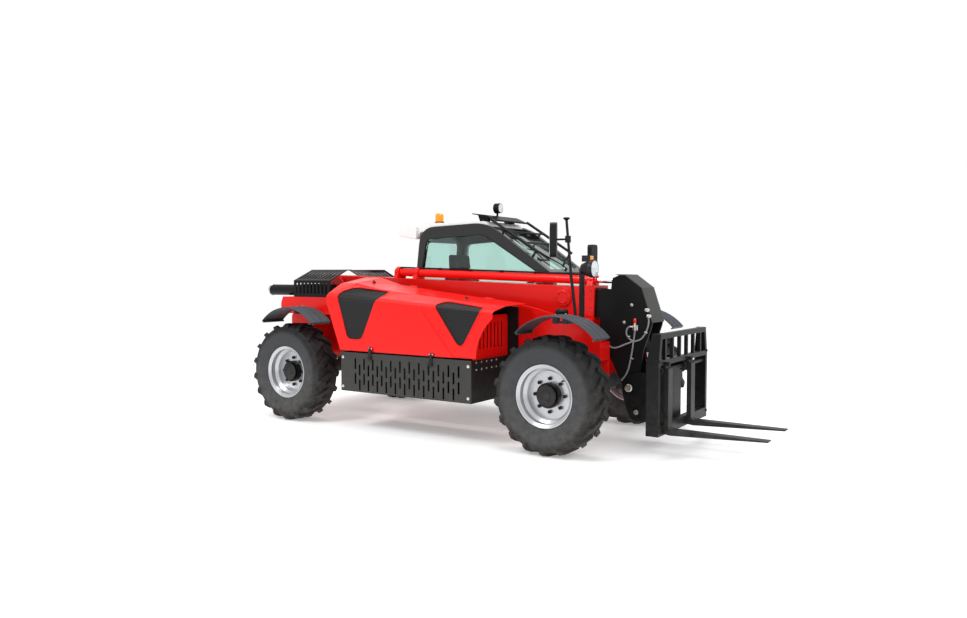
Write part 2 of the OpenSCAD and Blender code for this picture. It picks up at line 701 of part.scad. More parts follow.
// One mudguard about a centre at x, from angle a0 to a1, carried from y0
module fender(x, a0, a1, y0) {
    in_y = track / 2 + tyre_w / 2 - 20 - fender_w;
    skin = [[0, 0], [fender_t, 0], [fender_t, 40], [fender_t + 7, 46], [fender_t + 7, 66], [fender_t, 72],
        [fender_t, fender_w / 2 - 16], [fender_t + 7, fender_w / 2 - 10], [fender_t + 7, fender_w / 2 + 10],
        [fender_t, fender_w / 2 + 16], [fender_t, fender_w - 72], [fender_t + 7, fender_w - 66],
        [fender_t + 7, fender_w - 46], [fender_t, fender_w - 40], [fender_t, fender_w], [0, fender_w]];
    translate([x, in_y, fender_z]) rotate([90, 0, 0]) mirror([0, 0, 1]) rotate([0, 0, a0])
        {
            rotate_extrude(angle = a1 - a0, $fn = 96) polygon([for (p = skin) p + [fender_r - fender_t, 0]]);
            for (a = [0.6, a1 - a0 - 0.6]) rotate([0, 0, a])
                block([fender_r - 28, -5, 0], [fender_r, 5, fender_w]);
        }
    for (dx = [-130, -30]) {
        block([x + dx, y0, arm_z], [x + dx + 50, in_y + 60, arm_z + 20]);
        block([x + dx, in_y + 10, arm_z],
            [x + dx + 50, in_y + 60, fender_z + sqrt(pow(fender_r - fender_t, 2) - pow(dx, 2)) + 2]);
    }
}

// Slotted guards on the rear deck
module rear_guard() {
    sheet = 8;
    low = deck_top_z;
    bend = [-deck_y + sheet, deck_top_z + 187];
    crest = [-rail_out_y - 130, bend[1] + 123];
    slope = atan2(crest[1] - bend[1], crest[0] - bend[0]);
    run_up = norm(crest - bend);
    slot = 24;
    pitch = guard_len / 10;
    start = 210 - frame_rear_x;
    color("black") place() both_sides() difference() {
        slab_x(start, start + guard_len) polygon([[-deck_y, low], [-deck_y + sheet, low],
            [-deck_y + sheet, bend[1] - sheet], [crest[0], crest[1] - sheet], [crest[0] + 60,
                crest[1] - sheet],
            [crest[0] + 60, crest[1]], [crest[0], crest[1]], [-deck_y, bend[1]]]);
        for (i = [0:8]) {
            block([start + 40 + i * pitch, -deck_y - cut, low + 40],
                [start + 40 + slot + i * pitch, -deck_y + sheet + cut, bend[1] - 30]);
            translate([start + 40 + i * pitch, bend[0], bend[1]]) rotate([slope, 0, 0])
                block([0, run_up * 0.13, -30], [slot, run_up * 0.8, 30]);
        }
    }
}

// Exhaust: silencer behind the right guard and tail pipe to the rear
module exhaust() {
    box_x = 250 - frame_rear_x;
    box_len = 490;
    color("black") place() difference() {
        union() {
            bar_x(pipe_end_x, box_x + 10, pipe_y, pipe_z, pipe_r);
            bar_x(box_x, box_x + box_len, pipe_y, pipe_z, pipe_r + 12);
            for (x = [box_x + 90, box_x + box_len - 100])
                block([x, pipe_y - 30, deck_top_z], [x + 40, pipe_y + 30, pipe_z]);
        }
        bar_x(pipe_end_x - cut, box_x - 60, pipe_y, pipe_z, pipe_r - 6);
    }
}

// Cab shell: posts, sills, rear and right walls with the window openings and the doorway
module cab_frame() {
    inner = inset(cab_outline, cab_t);
    color("black") place() {
        difference() {
            slab_y(cab_in_y, cab_out_y) polygon(cab_shell);
            block([-cab_rear_x - 100, cab_in_y + cab_t, cab_top_z], [cab_brow_x + 200, cab_out_y - cab_t,
                cab_top_z + 200]);
            slab_y(cab_in_y + cab_t, cab_out_y - cab_t) polygon([[-cab_rear_x - 100, cab_top_z - 30],
                [60 - cab_rear_x, cab_top_z - 30], [cab_brow_x, cab_top_z], [cab_brow_x, cab_top_z + 100],
                [-cab_rear_x - 100, cab_top_z + 100]]);
            slab_y(cab_in_y + cab_t, cab_out_y - cab_t) polygon(inner);
            slab_y(cab_in_y - cut, cab_in_y + cab_t + cut) polygon(rounded(right_window(), 60));
            slab_y(cab_out_y - cab_t - cut, cab_out_y + cut) polygon(inset(door_outline, -door_gap));
            slab_y(cab_out_y - cab_t - cut, cab_out_y + cut) polygon(rounded(quarter_window(), 40));
            slab_x(-cab_rear_x - 60, cab_t + 60 - cab_rear_x) polygon(rounded(rear_window(), 60));
            windscreen_plane() linear_extrude(300, center = true) polygon(rounded(screen_window(), 60));
            slab_x(screen_low_x - 250, screen_low_x + 200) polygon(rounded(lower_window(), 50));
        }
        for (z = [cab_low_z + 170, cab_top_z - 250]) cab_hinge(z) {
            translate([0, 0, -35]) cylinder(r = door_pin_r, h = 70);
            for (s = [-35, 15]) translate([0, 0, s]) {
                cylinder(r = 15, h = 20);
                block([-15, -hinge_out - 13, 0], [45, 8, 20]);
            }
        }
    }
}

// A door hinge: its pin's axis is local Z
module cab_hinge(z) {
    translate([-cab_rear_x - 8, cab_out_y + hinge_out, z]) children();
}

// Cab openings: side outlines as [x, z] and front outlines as [y, z]
function right_window() = [[90 - cab_rear_x, 1150], [screen_low_x - 90, 1150], [screen_low_x - 10, 1330],
    [screen_low_x - 90, screen_low_z - 40], [cab_brow_x - 30, cab_top_z - 90], [120 - cab_rear_x,
        cab_top_z - 120],
    [50 - cab_rear_x, belt_z]];
function quarter_window() = [[door_front_x + 80, 1150], [screen_low_x - 110, 1150], [screen_low_x - 10, 1330],
    [screen_low_x - 100, screen_low_z - 40], [door_front_x + 80, cab_top_z - 330]];
function rear_window() = [[cab_in_y + 80, 1200], [cab_out_y - 80, 1200], [cab_out_y - 80, cab_top_z - 150],
    [cab_in_y + 80, cab_top_z - 150]];
function lower_window() = [[cab_in_y + 70, 1290], [cab_out_y - 70, 1290], [cab_out_y - 70, screen_low_z - 70],
    [cab_in_y + 70, screen_low_z - 70]];
screen_slant = norm([screen_low_x - cab_brow_x, cab_top_z - screen_low_z]);
function screen_window() = [[cab_in_y + 60, 50], [cab_out_y - 60, 50], [cab_out_y - 60, screen_slant - 60],
    [cab_in_y + 60, screen_slant - 60]];

// Windscreen plane: local X is +Y, local Y runs up the glass, local Z points out
module windscreen_plane() {
    translate([screen_low_x, 0, screen_low_z])
        multmatrix([[0, (cab_brow_x - screen_low_x) / screen_slant,
            (cab_top_z - screen_low_z) / screen_slant, 0],
            [1, 0, 0, 0], [0, (cab_top_z - screen_low_z) / screen_slant,
                (screen_low_x - cab_brow_x) / screen_slant, 0],
            [0, 0, 0, 1]]) children();
}

// Fixed panes, each seated in its opening
module cab_glass() {
    pane = 18;
    color("lightblue") place() {
        slab_y(cab_in_y + pane, cab_in_y + pane + glass_t) polygon(rounded(inset(right_window(), seat), 60));
        slab_y(cab_out_y - pane - glass_t, cab_out_y - pane) polygon(rounded(inset(quarter_window(),
            seat), 40));
        slab_x(-cab_rear_x - 8, glass_t - cab_rear_x - 8) polygon(rounded(inset(rear_window(), seat), 60));
        windscreen_plane() translate([0, 0,
            -pane]) linear_extrude(glass_t) polygon(rounded(inset(screen_window(), seat), 60));
        intersection() {
            slab_y(cab_in_y, cab_out_y) polygon(concat([cab_outline[3] + [-14, 0], cab_outline[4] + [-14, 0]],
                [cab_outline[4] + [-14 - glass_t, 0], cab_outline[3] + [-14 - glass_t, 0]]));
            slab_x(screen_low_x - 250, screen_low_x + 200) polygon(rounded(inset(lower_window(), seat), 50));
        }
    }
}

// Roof shell between the side walls, with its rear overhang
module cab_roof() {
    tail = -cab_rear_x - 290;
    behind = -cab_rear_x - 34;
    roof = rounded([[tail, cab_top_z - 70], [behind, cab_top_z - 115], [behind + 20, cab_top_z - 30 + seat],
        [60 - cab_rear_x, cab_top_z - 30 + seat], [cab_brow_x, cab_top_z + seat], [cab_brow_x - 40,
            roof_top_z],
        [-cab_rear_x, roof_top_z], [tail + 20, cab_top_z + 22]], 25, 3);
    hood = rounded([[tail, cab_top_z - 70], [behind, cab_top_z - 115], [behind, cab_top_z + 42],
        [tail + 20, cab_top_z + 22]], 25, 3);
    color("white") place() {
        slab_y(cab_in_y + cab_t + seat, cab_out_y - cab_t - seat) polygon(roof);
        slab_y(cab_in_y + 4, cab_out_y - 4) polygon(hood);
    }
}

// Seat, dashboard, steering column and wheel
module cab_interior() {
    mid = (cab_in_y + cab_out_y) / 2;
    floor_z = cab_low_z + cab_t;
    back_x = 230 - cab_rear_x;
    back_z = cab_top_z - 460;
    dash_x = skirt_front_x;
    dash_z = screen_low_z - 270;
    color("darkslategray") place() {
        block([back_x + 190, mid - 200, floor_z], [back_x + 620, mid + 200, floor_z + 330]);
        slab_y(mid - 240, mid + 240) polygon(rounded([[back_x + 100, floor_z + 330 - cut],
            [back_x + 660, floor_z + 330 - cut], [back_x + 670, floor_z + 460], [back_x + 240, floor_z + 430],
            [back_x + 100, back_z], [back_x, back_z - 10]], 50));
        slab_y(mid - 130, mid + 130) polygon(rounded([[back_x, back_z - 30], [back_x + 100, back_z - 30],
            [back_x + 70, back_z + 170], [back_x - 10, back_z + 170]], 30));
        slab_y(mid - 220, mid + 220) polygon(rounded([[dash_x - 277, floor_z], [dash_x - 77, floor_z],
            [dash_x - 37, dash_z - 270], [dash_x + 63, dash_z - 60], [dash_x - 77, dash_z],
            [dash_x - 197, dash_z - 130]], 40));
        rod([dash_x - 197, mid, dash_z - 150], [dash_x - 417, mid, dash_z + 30], 30);
        translate([dash_x - 417, mid, dash_z + 30]) rotate([0, -50.7, 0]) {
            rotate_extrude() translate([180, 0]) circle(r = 16);
            for (a = [0, 120, 240]) rotate([0, 0, a]) block([0, -18, -8], [180, 18, 8]);
            cylinder(r = 50, h = 40, center = true);
        }
    }
}

// Fuel tank and step under the cab
module fuel_tank() {
    color("black") place() difference() {
        slab_x(-skirt_rear_x + 140, skirt_front_x - 130) polygon(rounded([[rail_out_y + seat,
            rail_low_z + 20],
            [cab_out_y - 60, rail_low_z - 10], [cab_out_y - 10, rail_low_z + 40], [cab_out_y - 30,
                cab_low_z - 20],
            [rail_out_y + seat, cab_low_z - 20]], 30));
        block([-250, cab_out_y - 180, rail_low_z + 30], [250, cab_out_y + 20, cab_low_z]);
    }
}

// Guard tubes over the windscreen, with the visor tray on the roof's front and its work lamp
module roof_guard() {
    tube_r = 15;
    off = 90;
    low = 250;
    high = screen_slant + 10;
    wall_rise = [22, rail_up] * [cab_top_z - screen_low_z, screen_low_x - cab_brow_x] / screen_slant;
    wall_run = screen_slant + [22, rail_up] * [cab_brow_x - screen_low_x,
        cab_top_z - screen_low_z] / screen_slant;
    tube_y = [cab_in_y + 30, cab_out_y - 30];
    tray_x = cab_brow_x - 250;
    tray_z = roof_top_z + 55;
    lamp = [cab_brow_x - 70, (cab_in_y + cab_out_y) / 2 - 60, tray_z + 105];
    color("black") place() {
        windscreen_plane() {
            for (y = tube_y) {
                rod([y, low, off], [y, high, off], tube_r);
                for (v = [low + 20, screen_slant - 210])
                    block([y - 12, v - 8, seat + (v + 8) * wall_rise / wall_run], [y + 12, v + 8, off]);
            }
            for (v = [low + 190, low + 420, high - 20])
                rod([tube_y[0], v, off], [tube_y[1], v, off], tube_r - 5);
        }
        slab_y(tube_y[0] + 60, tube_y[1] - 60) polygon([[tray_x, tray_z + 32], [tray_x + 12, tray_z + 40],
            [cab_brow_x - 60, tray_z + 16], [cab_brow_x + 66, tray_z - 40], [cab_brow_x + 60, tray_z - 52],
            [cab_brow_x - 70, tray_z]]);
        for (y = [tube_y[0] + 110, tube_y[1] - 150])
            slab_y(y, y + 40) polygon([[cab_brow_x - 170, roof_top_z + seat], [cab_brow_x - 60,
                roof_top_z + seat],
                [cab_brow_x - 70, tray_z + cut], [cab_brow_x - 200, tray_z + 24]]);
        translate([lamp[0] - 12, lamp[1], tray_z]) cylinder(r = 12, h = 70);
        bar_x(lamp[0] - 35, lamp[0] + 20, lamp[1], lamp[2], 56);
    }
}

// Amber beacon at the roof's rear
module beacon() {
    color("orange") place() translate([-cab_rear_x + 90, cab_in_y + 280, roof_top_z + seat]) {
        cylinder(r = 55, h = 24);
        cylinder(r = 48, h = 110);
        translate([0, 0, 110 - cut]) cylinder(r1 = 48, r2 = 34, h = 20);
    }
}

// Mirrors: on a post over the right front wheel and on the cab's left front post
module mirrors() {
    post_y = -wing_y - 230;
    foot = [front_x + 80, post_y, arm_z + 20];
    knee_z = arm_z + 410;
    arm_low_z = screen_low_z - 40;
    color("black") place() {
        translate(foot) cylinder(r = 24, h = 30);
        rod(foot + [0, 0, 20], [front_x + 30, post_y, knee_z + 10], 14);
        rod([front_x + 30, post_y, knee_z], [front_x - 20, post_y, knee_z + 525], 12);
        translate([front_x - 150, post_y, 0]) rotate([0, 0, 25])
            slab_x(-30, 30) polygon(rounded([[-85, knee_z + 180], [85, knee_z + 180],
                [85, knee_z + 495], [-85, knee_z + 495]], 60));
        rod([front_x - 150, post_y, knee_z + 340], [front_x - 2, post_y, knee_z + 340], 9);
        translate([front_x - 3, post_y, knee_z + 310]) cylinder(r = 26, h = 60);
        block([screen_low_x - 190, cab_out_y + seat, arm_low_z], [screen_low_x - 130, cab_out_y + 22,
            arm_low_z + 50]);
        rod([screen_low_x - 150, cab_out_y + 12, arm_low_z + 30],
            [screen_low_x + 110, cab_out_y + 12, arm_low_z + 200], 9);
        translate([screen_low_x + 110, cab_out_y - 70, 0])
            slab_x(-25, 25) polygon(rounded([[-75, arm_low_z + 80], [75, arm_low_z + 80],
                [75, arm_low_z + 340], [-75, arm_low_z + 340]], 35));
    }
}

// Headlamps with their brackets and tail lamps
module lamps() {
    lamp = [front_x + 170, -wing_y - 130, arm_z + 485];
    low_lamp = [front_x + 80, wing_y + 130, arm_z + 190];
    color("gainsboro") place() {
        for (p = [lamp, low_lamp]) {
            block([p[0] - 90, p[1] - 40, arm_z + 20], [p[0] - 75, p[1] + 40, p[2]]);
            translate(p) rotate([0, 90, 0]) {
                translate([0, 0, -80]) cylinder(r1 = 45, r2 = 82, h = 90);
                translate([0, 0, 9]) cylinder(r = 82, h = 24);
            }
            translate(p + [-30, 0, 92]) cube([80, 62, 56], center = true);
        }
        for (s = [-1, 1])
            block([-frame_rear_x - 24, s > 0 ? deck_y - 130 : -deck_y + 20, weight_top_z + 40],
                [-frame_rear_x, s > 0 ? deck_y - 20 : -deck_y + 130, weight_top_z + 110]);
    }
}

// Cab door frame with its window opening and hinge eyes
module cab_door() {
    color("black") place() {
        difference() {
            slab_y(cab_out_y - cab_t, cab_out_y) polygon(door_outline);
            slab_y(cab_out_y - cab_t - cut, cab_out_y + cut) polygon(rounded(door_window(), 60));
        }
        for (z = [cab_low_z + 170, cab_top_z - 250]) cab_hinge(z) difference() {
            union() {
                translate([0, 0, -15 + seat]) cylinder(r = 15, h = 30 - 2 * seat);
                block([0, -15, -15 + seat], [110, -4, 15 - seat]);
                block([70, -hinge_out - cut, -15 + seat], [110, -10, 15 - seat]);
            }
            translate([0, 0, -50]) cylinder(r = door_pin_r + run, h = 100);
        }
    }
}

function door_window() = [[door_outline[0][0] + 70, 1050], [door_front_x - 60, 1050], [door_front_x - 60,
    cab_top_z - 300],
    [door_front_x - 380, cab_top_z - cab_t - 70], [130 - cab_rear_x, cab_top_z - cab_t - 110],
        [door_outline[0][0] + 50,
        belt_z]];

// Door pane
module door_glass() {
    color("lightblue") place()
        slab_y(cab_out_y - 18 - glass_t, cab_out_y - 18) polygon(rounded(inset(door_window(), seat), 60));
}

// Rings of the hood's outer or inner face, drawn in by t
function hood_rings(t) = [for (i = [0:len(hood_rows) - 1])
    let (h = hood_rows[i], last = i == len(hood_rows) - 1, grow = t > 0 ? 40 : 0,
        x = h[0] + (i == 0 ? t : (last ? grow : 0)),
        x_low = i == 0 ? hood_rear_low_x + t : (i == 1 ? max(x, hood_rear_low_x + t + 40) : x))
    [[x_low, -hood_y + t, hood_low_z - (t > 0 ? cut : 0)], [x, -hood_y + t, h[1] - 45],
        [x, -hood_y + 11 + t, h[1] - 9 - t * 0.4], [x, -hood_y + 46 + t * 0.5,
            h[1] + (h[2] - h[1]) * 0.2 - t * 0.9],
        [x, -shoulder_y, h[2] - t], [x, -hood_in_y + (t > 0 ? cut : 0), h[3] - t],
        [x_low, -hood_in_y + (t > 0 ? cut : 0), hood_low_z - (t > 0 ? cut : 0)]]];

// Hood's volume drawn in by t, with its front half set back behind the crease
module hood_body(t) {
    deep = 14;
    band = 55;
    crease = [[-54, 1540], [690, 674]];
    ahead = [[hood_nose_x + 100, 674], [hood_nose_x + 100, 1540]];
    difference() {
        loft(hood_rings(t));
        loft([for (k = [0, 1]) [for (p = concat(crease + [[band * k - t, 0], [band * k - t, 0]], ahead))
            [p[0], k > 0 ? deep + t - hood_y : -hood_y - 30 + t, p[1]]]]);
    }
}

// Openings in the hood's side as [x, z]
hood_windows = [[[-860, 1390], [-741, 1440], [-290, 1395], [-508, 922], [-698, 924]],
    [[385, 1290], [445, 1315], [930, 1262], [725, 918], [663, 917]]];

// Engine hood: a folded shell with two mesh openings, a creased front half and its hinge tubes
module hood() {
    color("red") place() {
        difference() {
            hood_body(0);
            hood_body(hood_t);
            bar_y([hood_arch_x, hood_low_z - 10], hood_arch_r, -hood_y - 10, -hood_in_y + 20);
            for (w = hood_windows) slab_y(-hood_y - 10, -shoulder_y + 40) polygon(rounded(w, 50));
        }
        hood_hinge_at() difference() {
            union() {
                translate([-45, 0, 0]) rotate([0, 90, 0]) cylinder(r = 17, h = 90);
                block([-45, -40, -hood_t / 2], [45, 0, hood_t / 2 + 2]);
            }
            translate([-60, 0, 0]) rotate([0, 90, 0]) cylinder(r = hinge_r + run, h = 120);
        }
    }
}

// Mesh panels that lap behind the edges of the hood's openings
module hood_mesh() {
    mesh_lap = 25;
    color("black") place() for (w = hood_windows) intersection() {
        difference() {
            hood_body(hood_t + seat);
            hood_body(hood_t + seat + 4);
        }
        slab_y(-hood_y - 10, -shoulder_y + 20) polygon(inset(w, mesh_lap));
    }
}

// Outer boom: box section with its pivot tube, lift ears, wear pads and cylinder brackets
module boom_outer() {
    half_w = boom_w / 2;
    half_h = boom_h / 2;
    pad_t = pad_space - seat;
    lift_u = turn(lift_pin - [-pivot_x, pivot_z], boom_pitch);
    color("red") place() {
        along_boom() {
            difference() {
                block([-150, -half_w, -half_h], [boom_len, half_w, half_h]);
                block([150, boom_wall - half_w, boom_wall - half_h],
                    [boom_len + cut, half_w - boom_wall, half_h - boom_wall]);
                bar_y([0, 0], pivot_r + run, -half_w - cut, half_w + cut);
                block([-152, -half_w + 40, -half_h - cut], [-80, half_w - 40, half_h + cut]);
            }
            for (s = [-1, 1]) {
                block([boom_len - 160, s > 0 ? half_w - boom_wall - pad_t : boom_wall - half_w, -70],
                    [boom_len - 10, s > 0 ? half_w - boom_wall : boom_wall - half_w + pad_t, 70]);
                block([boom_len - 160, -70, s > 0 ? half_h - boom_wall - pad_t : boom_wall - half_h],
                    [boom_len - 10, 70, s > 0 ? half_h - boom_wall : boom_wall - half_h + pad_t]);
            }
            difference() {
                block([boom_len - 130, -half_w - 14, -half_h - 14], [boom_len, half_w + 14, half_h + 14]);
                block([boom_len - 131, -half_w + cut, -half_h + cut], [boom_len + cut, half_w - cut,
                    half_h - cut]);
            }
            bar_y([boom_len - 330, 40], 85, -half_w - 22, -half_w + cut);
            for (s = [-1, 1]) {
                slab_y(s > 0 ? 42 : -62, s > 0 ? 62 : -42) polygon(concat([[lift_u[0] + 150, cut - half_h],
                    [lift_u[0] - 150, cut - half_h]], arc(lift_u, 62, 190, 350, 10)));
                bar_y(lift_u, lift_pin_r + 6, s > 0 ? 61 : -80, s > 0 ? 80 : -61);
            }
            for (u = [[860, 50], [1130, 50], [boom_len - 120, 60]]) difference() {
                slab_x(u[0], u[0] + u[1]) polygon(concat([[-80, half_h - cut], [80, half_h - cut]],
                    arc([0, half_h + ext_up], ext_r + 16, 0, 180, 12)));
                bar_x(u[0] - cut, u[0] + u[1] + cut, 0, half_h + ext_up, ext_r + seat);
            }
        }
    }
}

// Extension cylinder's tube on top of the boom
module extend_barrel() {
    z = boom_h / 2 + ext_up;
    color("red") place() along_boom() difference() {
        bar_x(840, boom_len - 40, 0, z, ext_r);
        bar_x(900, boom_len - 100, 0, z, ext_rod_r + 8);
        bar_x(900, boom_len, 0, z, ext_rod_r + run);
    }
}

// Extension cylinder's rod, with its piston in the tube and its eye in the head
module extend_rod() {
    z = boom_h / 2 + ext_up;
    color("silver") place() along_boom() {
        bar_x(950, boom_len + 200, 0, z, ext_rod_r);
        bar_x(950, 1000, 0, z, ext_rod_r + 8 - run);
        difference() {
            bar_y([boom_len + 235, z], 42, -30, 30);
            bar_y([boom_len + 235, z], 18 + run, -31, 31);
        }
    }
}

// Side outline of the boom head in boom coordinates
function head_outline() = let (e = boom_len, p = [boom_len + head_reach, -head_drop])
    concat([[e + 60, 140], [e + 60, -148], [e + 66, -262], [e + 116, -392]],
        arc(p, 72, 200, 345, 8),
        [[e + 490, -560], [e + 505, -420], [e + 575, -190], [e + 582, -150], [e + 466, 160],
        [e + 300, 270], [e + 236, 270], [e + 172, 240], [e + 165, 140]]);

// Inner boom with the gooseneck head that carries the tilt pin
module boom_inner() {
    half_w = inner_w / 2;
    half_h = inner_h / 2;
    p = [boom_len + head_reach, -head_drop];
    pad_t = pad_space - seat;
    base = turn(tilt_base - [-pivot_x, pivot_z], boom_pitch);
    color("black") place() along_boom() {
        difference() {
            block([inner_tail, -half_w, -half_h], [boom_len + 330, half_w, half_h]);
            block([inner_tail - cut, inner_wall - half_w, inner_wall - half_h],
                [boom_len + 331, half_w - inner_wall, half_h - inner_wall]);
        }
        for (s = [-1, 1])
            slab_y(s > 0 ? half_w - cut : -half_w - head_t,
                s > 0 ? half_w + head_t : cut - half_w) polygon(head_outline());
        bar_y(p, tilt_pin_r, -half_w - head_t - 62, half_w + head_t + 62);
        bar_y(base, 22, -half_w, half_w);
        bar_y([boom_len + 235, boom_h / 2 + ext_up], 18, -half_w, half_w);
        for (s = [-1, 1]) {
            block([inner_tail, s > 0 ? half_w - cut : -half_w - pad_t, -70], [inner_tail + 120,
                s > 0 ? half_w + pad_t : cut - half_w, 70]);
            block([inner_tail, -70, s > 0 ? half_h - cut : -half_h - pad_t], [inner_tail + 120, 70,
                s > 0 ? half_h + pad_t : cut - half_h]);
        }
    }
}

// Bent shield on the head's front edges
module head_shield() {
    e = boom_len;
    half = inner_w / 2 + head_t + 6;
    top = [e + 300, 270 + seat];
    knee = [e + 466 + seat, 160 + seat];
    low = [e + 582 + seat, -150];
    color("dimgray") place() along_boom() slab_y(-half, half)
        polygon([low, low + [8, 2], knee + [9, 5], top + [4, 9], [e + 200, 279], [e + 240, 270 + seat],
            top, knee]);
}

// Hydraulic hoses on the head's right side, given from the tilt pin
module head_hoses() {
    hose_r = 8;
    side = -inner_w / 2 - head_t - hose_r - seat;
    drop = [[38, 545], [22, 430], [0, 290], [-28, 165], [-60, 100], [-95, 62]];
    loop = [[30, 560], [-20, 560], [-48, 525], [-40, 470], [20, 428], [100, 455], [152, 540], [168, 625],
        [150, 660]];
    tail = [[20, 428], [-60, 395], [-170, 355], [-250, 390]];
    color("gainsboro") place() for (h = [[drop, 0], [loop, 0], [tail, 0]])
        hose([for (p = curve(h[0])) tilt_pin + p], side, hose_r);
}

// Tilt cylinder's tube in the head
module tilt_barrel() {
    color("dimgray") place() along_line(tilt_base, tilt_angle) difference() {
        union() {
            bar_y([0, 0], 40, -40, 40);
            bar_x(0, tilt_len - 170, 0, 0, tilt_r);
        }
        bar_y([0, 0], 22 + run, -100, 100);
        bar_x(70, tilt_len, 0, 0, tilt_rod_r + run);
    }
}

// Tilt cylinder's rod
module tilt_rod() {
    color("silver") place() along_line(tilt_base, tilt_angle) {
        bar_x(130, tilt_len - 20, 0, 0, tilt_rod_r);
        bar_y([tilt_len, 0], 38, -34, 34);
    }
}

// Quick coupler on the tilt pin
module coupler() {
    t = tilt_pin;
    plate = rounded([t + [-10, -265], t + [45, -310], t + [200, -290], t + [204, 60], t + [150, 150],
        t + [20, 130], t + [-75, 40], t + [-75, -60]], 40);
    color("dimgray") place() difference() {
        union() {
            for (s = [-1, 1]) {
                slab_y(s > 0 ? coupler_y - coupler_t : -coupler_y, s > 0 ? coupler_y : coupler_t - coupler_y)
                    polygon(plate);
                slab_y(s > 0 ? 44 : -62, s > 0 ? 62 : -44) polygon(concat(arc(tilt_eye, 52, -20, 170, 8),
                    [t + [100, 60], t + [210, 60]]));
            }
            block([t[0] + 180, cut - coupler_y, t[1] - 285], [t[0] + 204, coupler_y - cut, t[1] + 70]);
            for (s = [-1, 1]) bar_y(t + [69, -219], 30, s > 0 ? coupler_y - cut : -coupler_y - 16,
                s > 0 ? coupler_y + 16 : cut - coupler_y);
        }
        bar_y(t, tilt_pin_r + run, -coupler_y - cut, coupler_y + cut);
    }
}

// Fork carriage: frame, load guard, hook plates and the shaft that the tines hang on
module fork_carriage() {
    half = carriage_w / 2;
    bar = carriage_bar;
    mid_z = 800;
    side_d = 112;
    side_top_d = 79;
    lean = 45;
    shaft = [plate_x - 40, 750];
    color("black") place() {
        both_sides() loft([for (q = [[carriage_top_z, side_top_d, lean], [mid_z + 15, side_d, 0],
            [carriage_low_z, side_d, 0]])
            [[plate_x - q[1], half - bar - q[2], q[0]], [plate_x, half - bar - q[2], q[0]],
                [plate_x, half - q[2], q[0]], [plate_x - q[1], half - q[2], q[0]]]]);
        block([plate_x - 60, cut - half, carriage_low_z], [plate_x, half - cut, carriage_low_z + 90]);
        block([plate_x - 50, cut - half, mid_z], [plate_x, half - cut, mid_z + bar]);
        block([plate_x - 50, lean + 10 - half, carriage_top_z - bar], [plate_x, half - lean - 10,
            carriage_top_z]);
        for (i = [1:guard_bars])
            let (y = -half + i * carriage_w / (guard_bars + 1))
            block([plate_x - 35, y - 14, mid_z + cut], [plate_x - 5, y + 14, carriage_top_z - cut]);
        bar_y(shaft, 22, -half + cut, half - cut);
        for (s = [-1, 1])
            block([tilt_pin[0] + 204, s > 0 ? coupler_y - 40 : -coupler_y, carriage_low_z + 30],
                [plate_x - 95, s > 0 ? coupler_y : 40 - coupler_y, mid_z + 30]);
        block([plate_x - 110, -coupler_y, carriage_low_z + 30], [plate_x - 94, coupler_y, mid_z + 30]);
        block([plate_x - 95, -coupler_y, carriage_low_z + 30], [plate_x - 59, coupler_y,
            carriage_low_z + 60]);
        block([plate_x - 95, -coupler_y, mid_z + 4], [plate_x - 49, coupler_y, mid_z + 30]);
    }
}

// Two pallet tines hung on the carriage's shaft
module fork_tines() {
    shaft = [plate_x - 40, 750];
    heel_z = carriage_low_z + 10;
    color("dimgray") place() for (y = [tine_right_y, tine_left_y]) difference() {
        union() {
            slab_y(y - tine_w / 2, y + tine_w / 2) polygon([[plate_x + seat, heel_z], [plate_x + 60,
                heel_z - 8],
                [tine_tip_x, heel_z + 24], [tine_tip_x, heel_z + 34], [plate_x + 60, heel_z + tine_t],
                [plate_x + tine_t, heel_z + tine_t + 14], [plate_x + tine_t, 770], [plate_x + seat, 790]]);
            bar_y(shaft, 48, y - tine_w / 2, y + tine_w / 2);
            block([shaft[0], y - tine_w / 2, 702], [plate_x + 20, y + tine_w / 2, 798]);
        }
        bar_y(shaft, 22 + seat, y - tine_w, y + tine_w);
    }
}

// Lift cylinder's tube between the frame rails
module lift_barrel() {
    color("dimgray") place() along_line(lift_base, lift_angle) difference() {
        union() {
            bar_y([0, 0], 58, -45, 45);
            bar_x(0, lift_len - 140, 0, 0, lift_r);
        }
        bar_y([0, 0], lift_pin_r + run, -100, 100);
        bar_x(100, lift_len, 0, 0, lift_rod_r + run);
    }
}

// Lift cylinder's rod
module lift_rod() {
    color("silver") place() along_line(lift_base, lift_angle) {
        bar_x(120, lift_len - 20, 0, 0, lift_rod_r);
        bar_y([lift_len, 0], 54, -36, 36);
    }
}

frame();
front_wings();
side_carriers();
counterweight();
tow_hitch();
engine_bay();
engine();
vent_panel();
axle(front_x);  // front_axle
axle(rear_x);  // rear_axle
fenders();
rear_guard();
exhaust();
cab_frame();
cab_roof();
cab_glass();
cab_interior();
fuel_tank();
roof_guard();
beacon();
mirrors();
lamps();
cab_door();
door_glass();
hood();
hood_mesh();
boom_outer();
extend_barrel();
boom_inner();
extend_rod();
head_shield();
head_hoses();
tilt_barrel();
tilt_rod();
coupler();
fork_carriage();
fork_tines();
lift_barrel();
lift_rod();
at_corner(front_x, 1) knuckle();  // knuckle_front_left
at_corner(front_x, -1) knuckle();  // knuckle_front_right
at_corner(rear_x, 1) knuckle();  // knuckle_rear_left
at_corner(rear_x, -1) knuckle();  // knuckle_rear_right
at_corner(front_x, 1) rim();  // rim_front_left
at_corner(front_x, -1) rim();  // rim_front_right
at_corner(rear_x, 1) rim();  // rim_rear_left
at_corner(rear_x, -1) rim();  // rim_rear_right
at_corner(front_x, 1) tyre();  // tyre_front_left
at_corner(front_x, -1) tyre();  // tyre_front_right
at_corner(rear_x, 1) tyre();  // tyre_rear_left
at_corner(rear_x, -1) tyre();  // tyre_rear_right
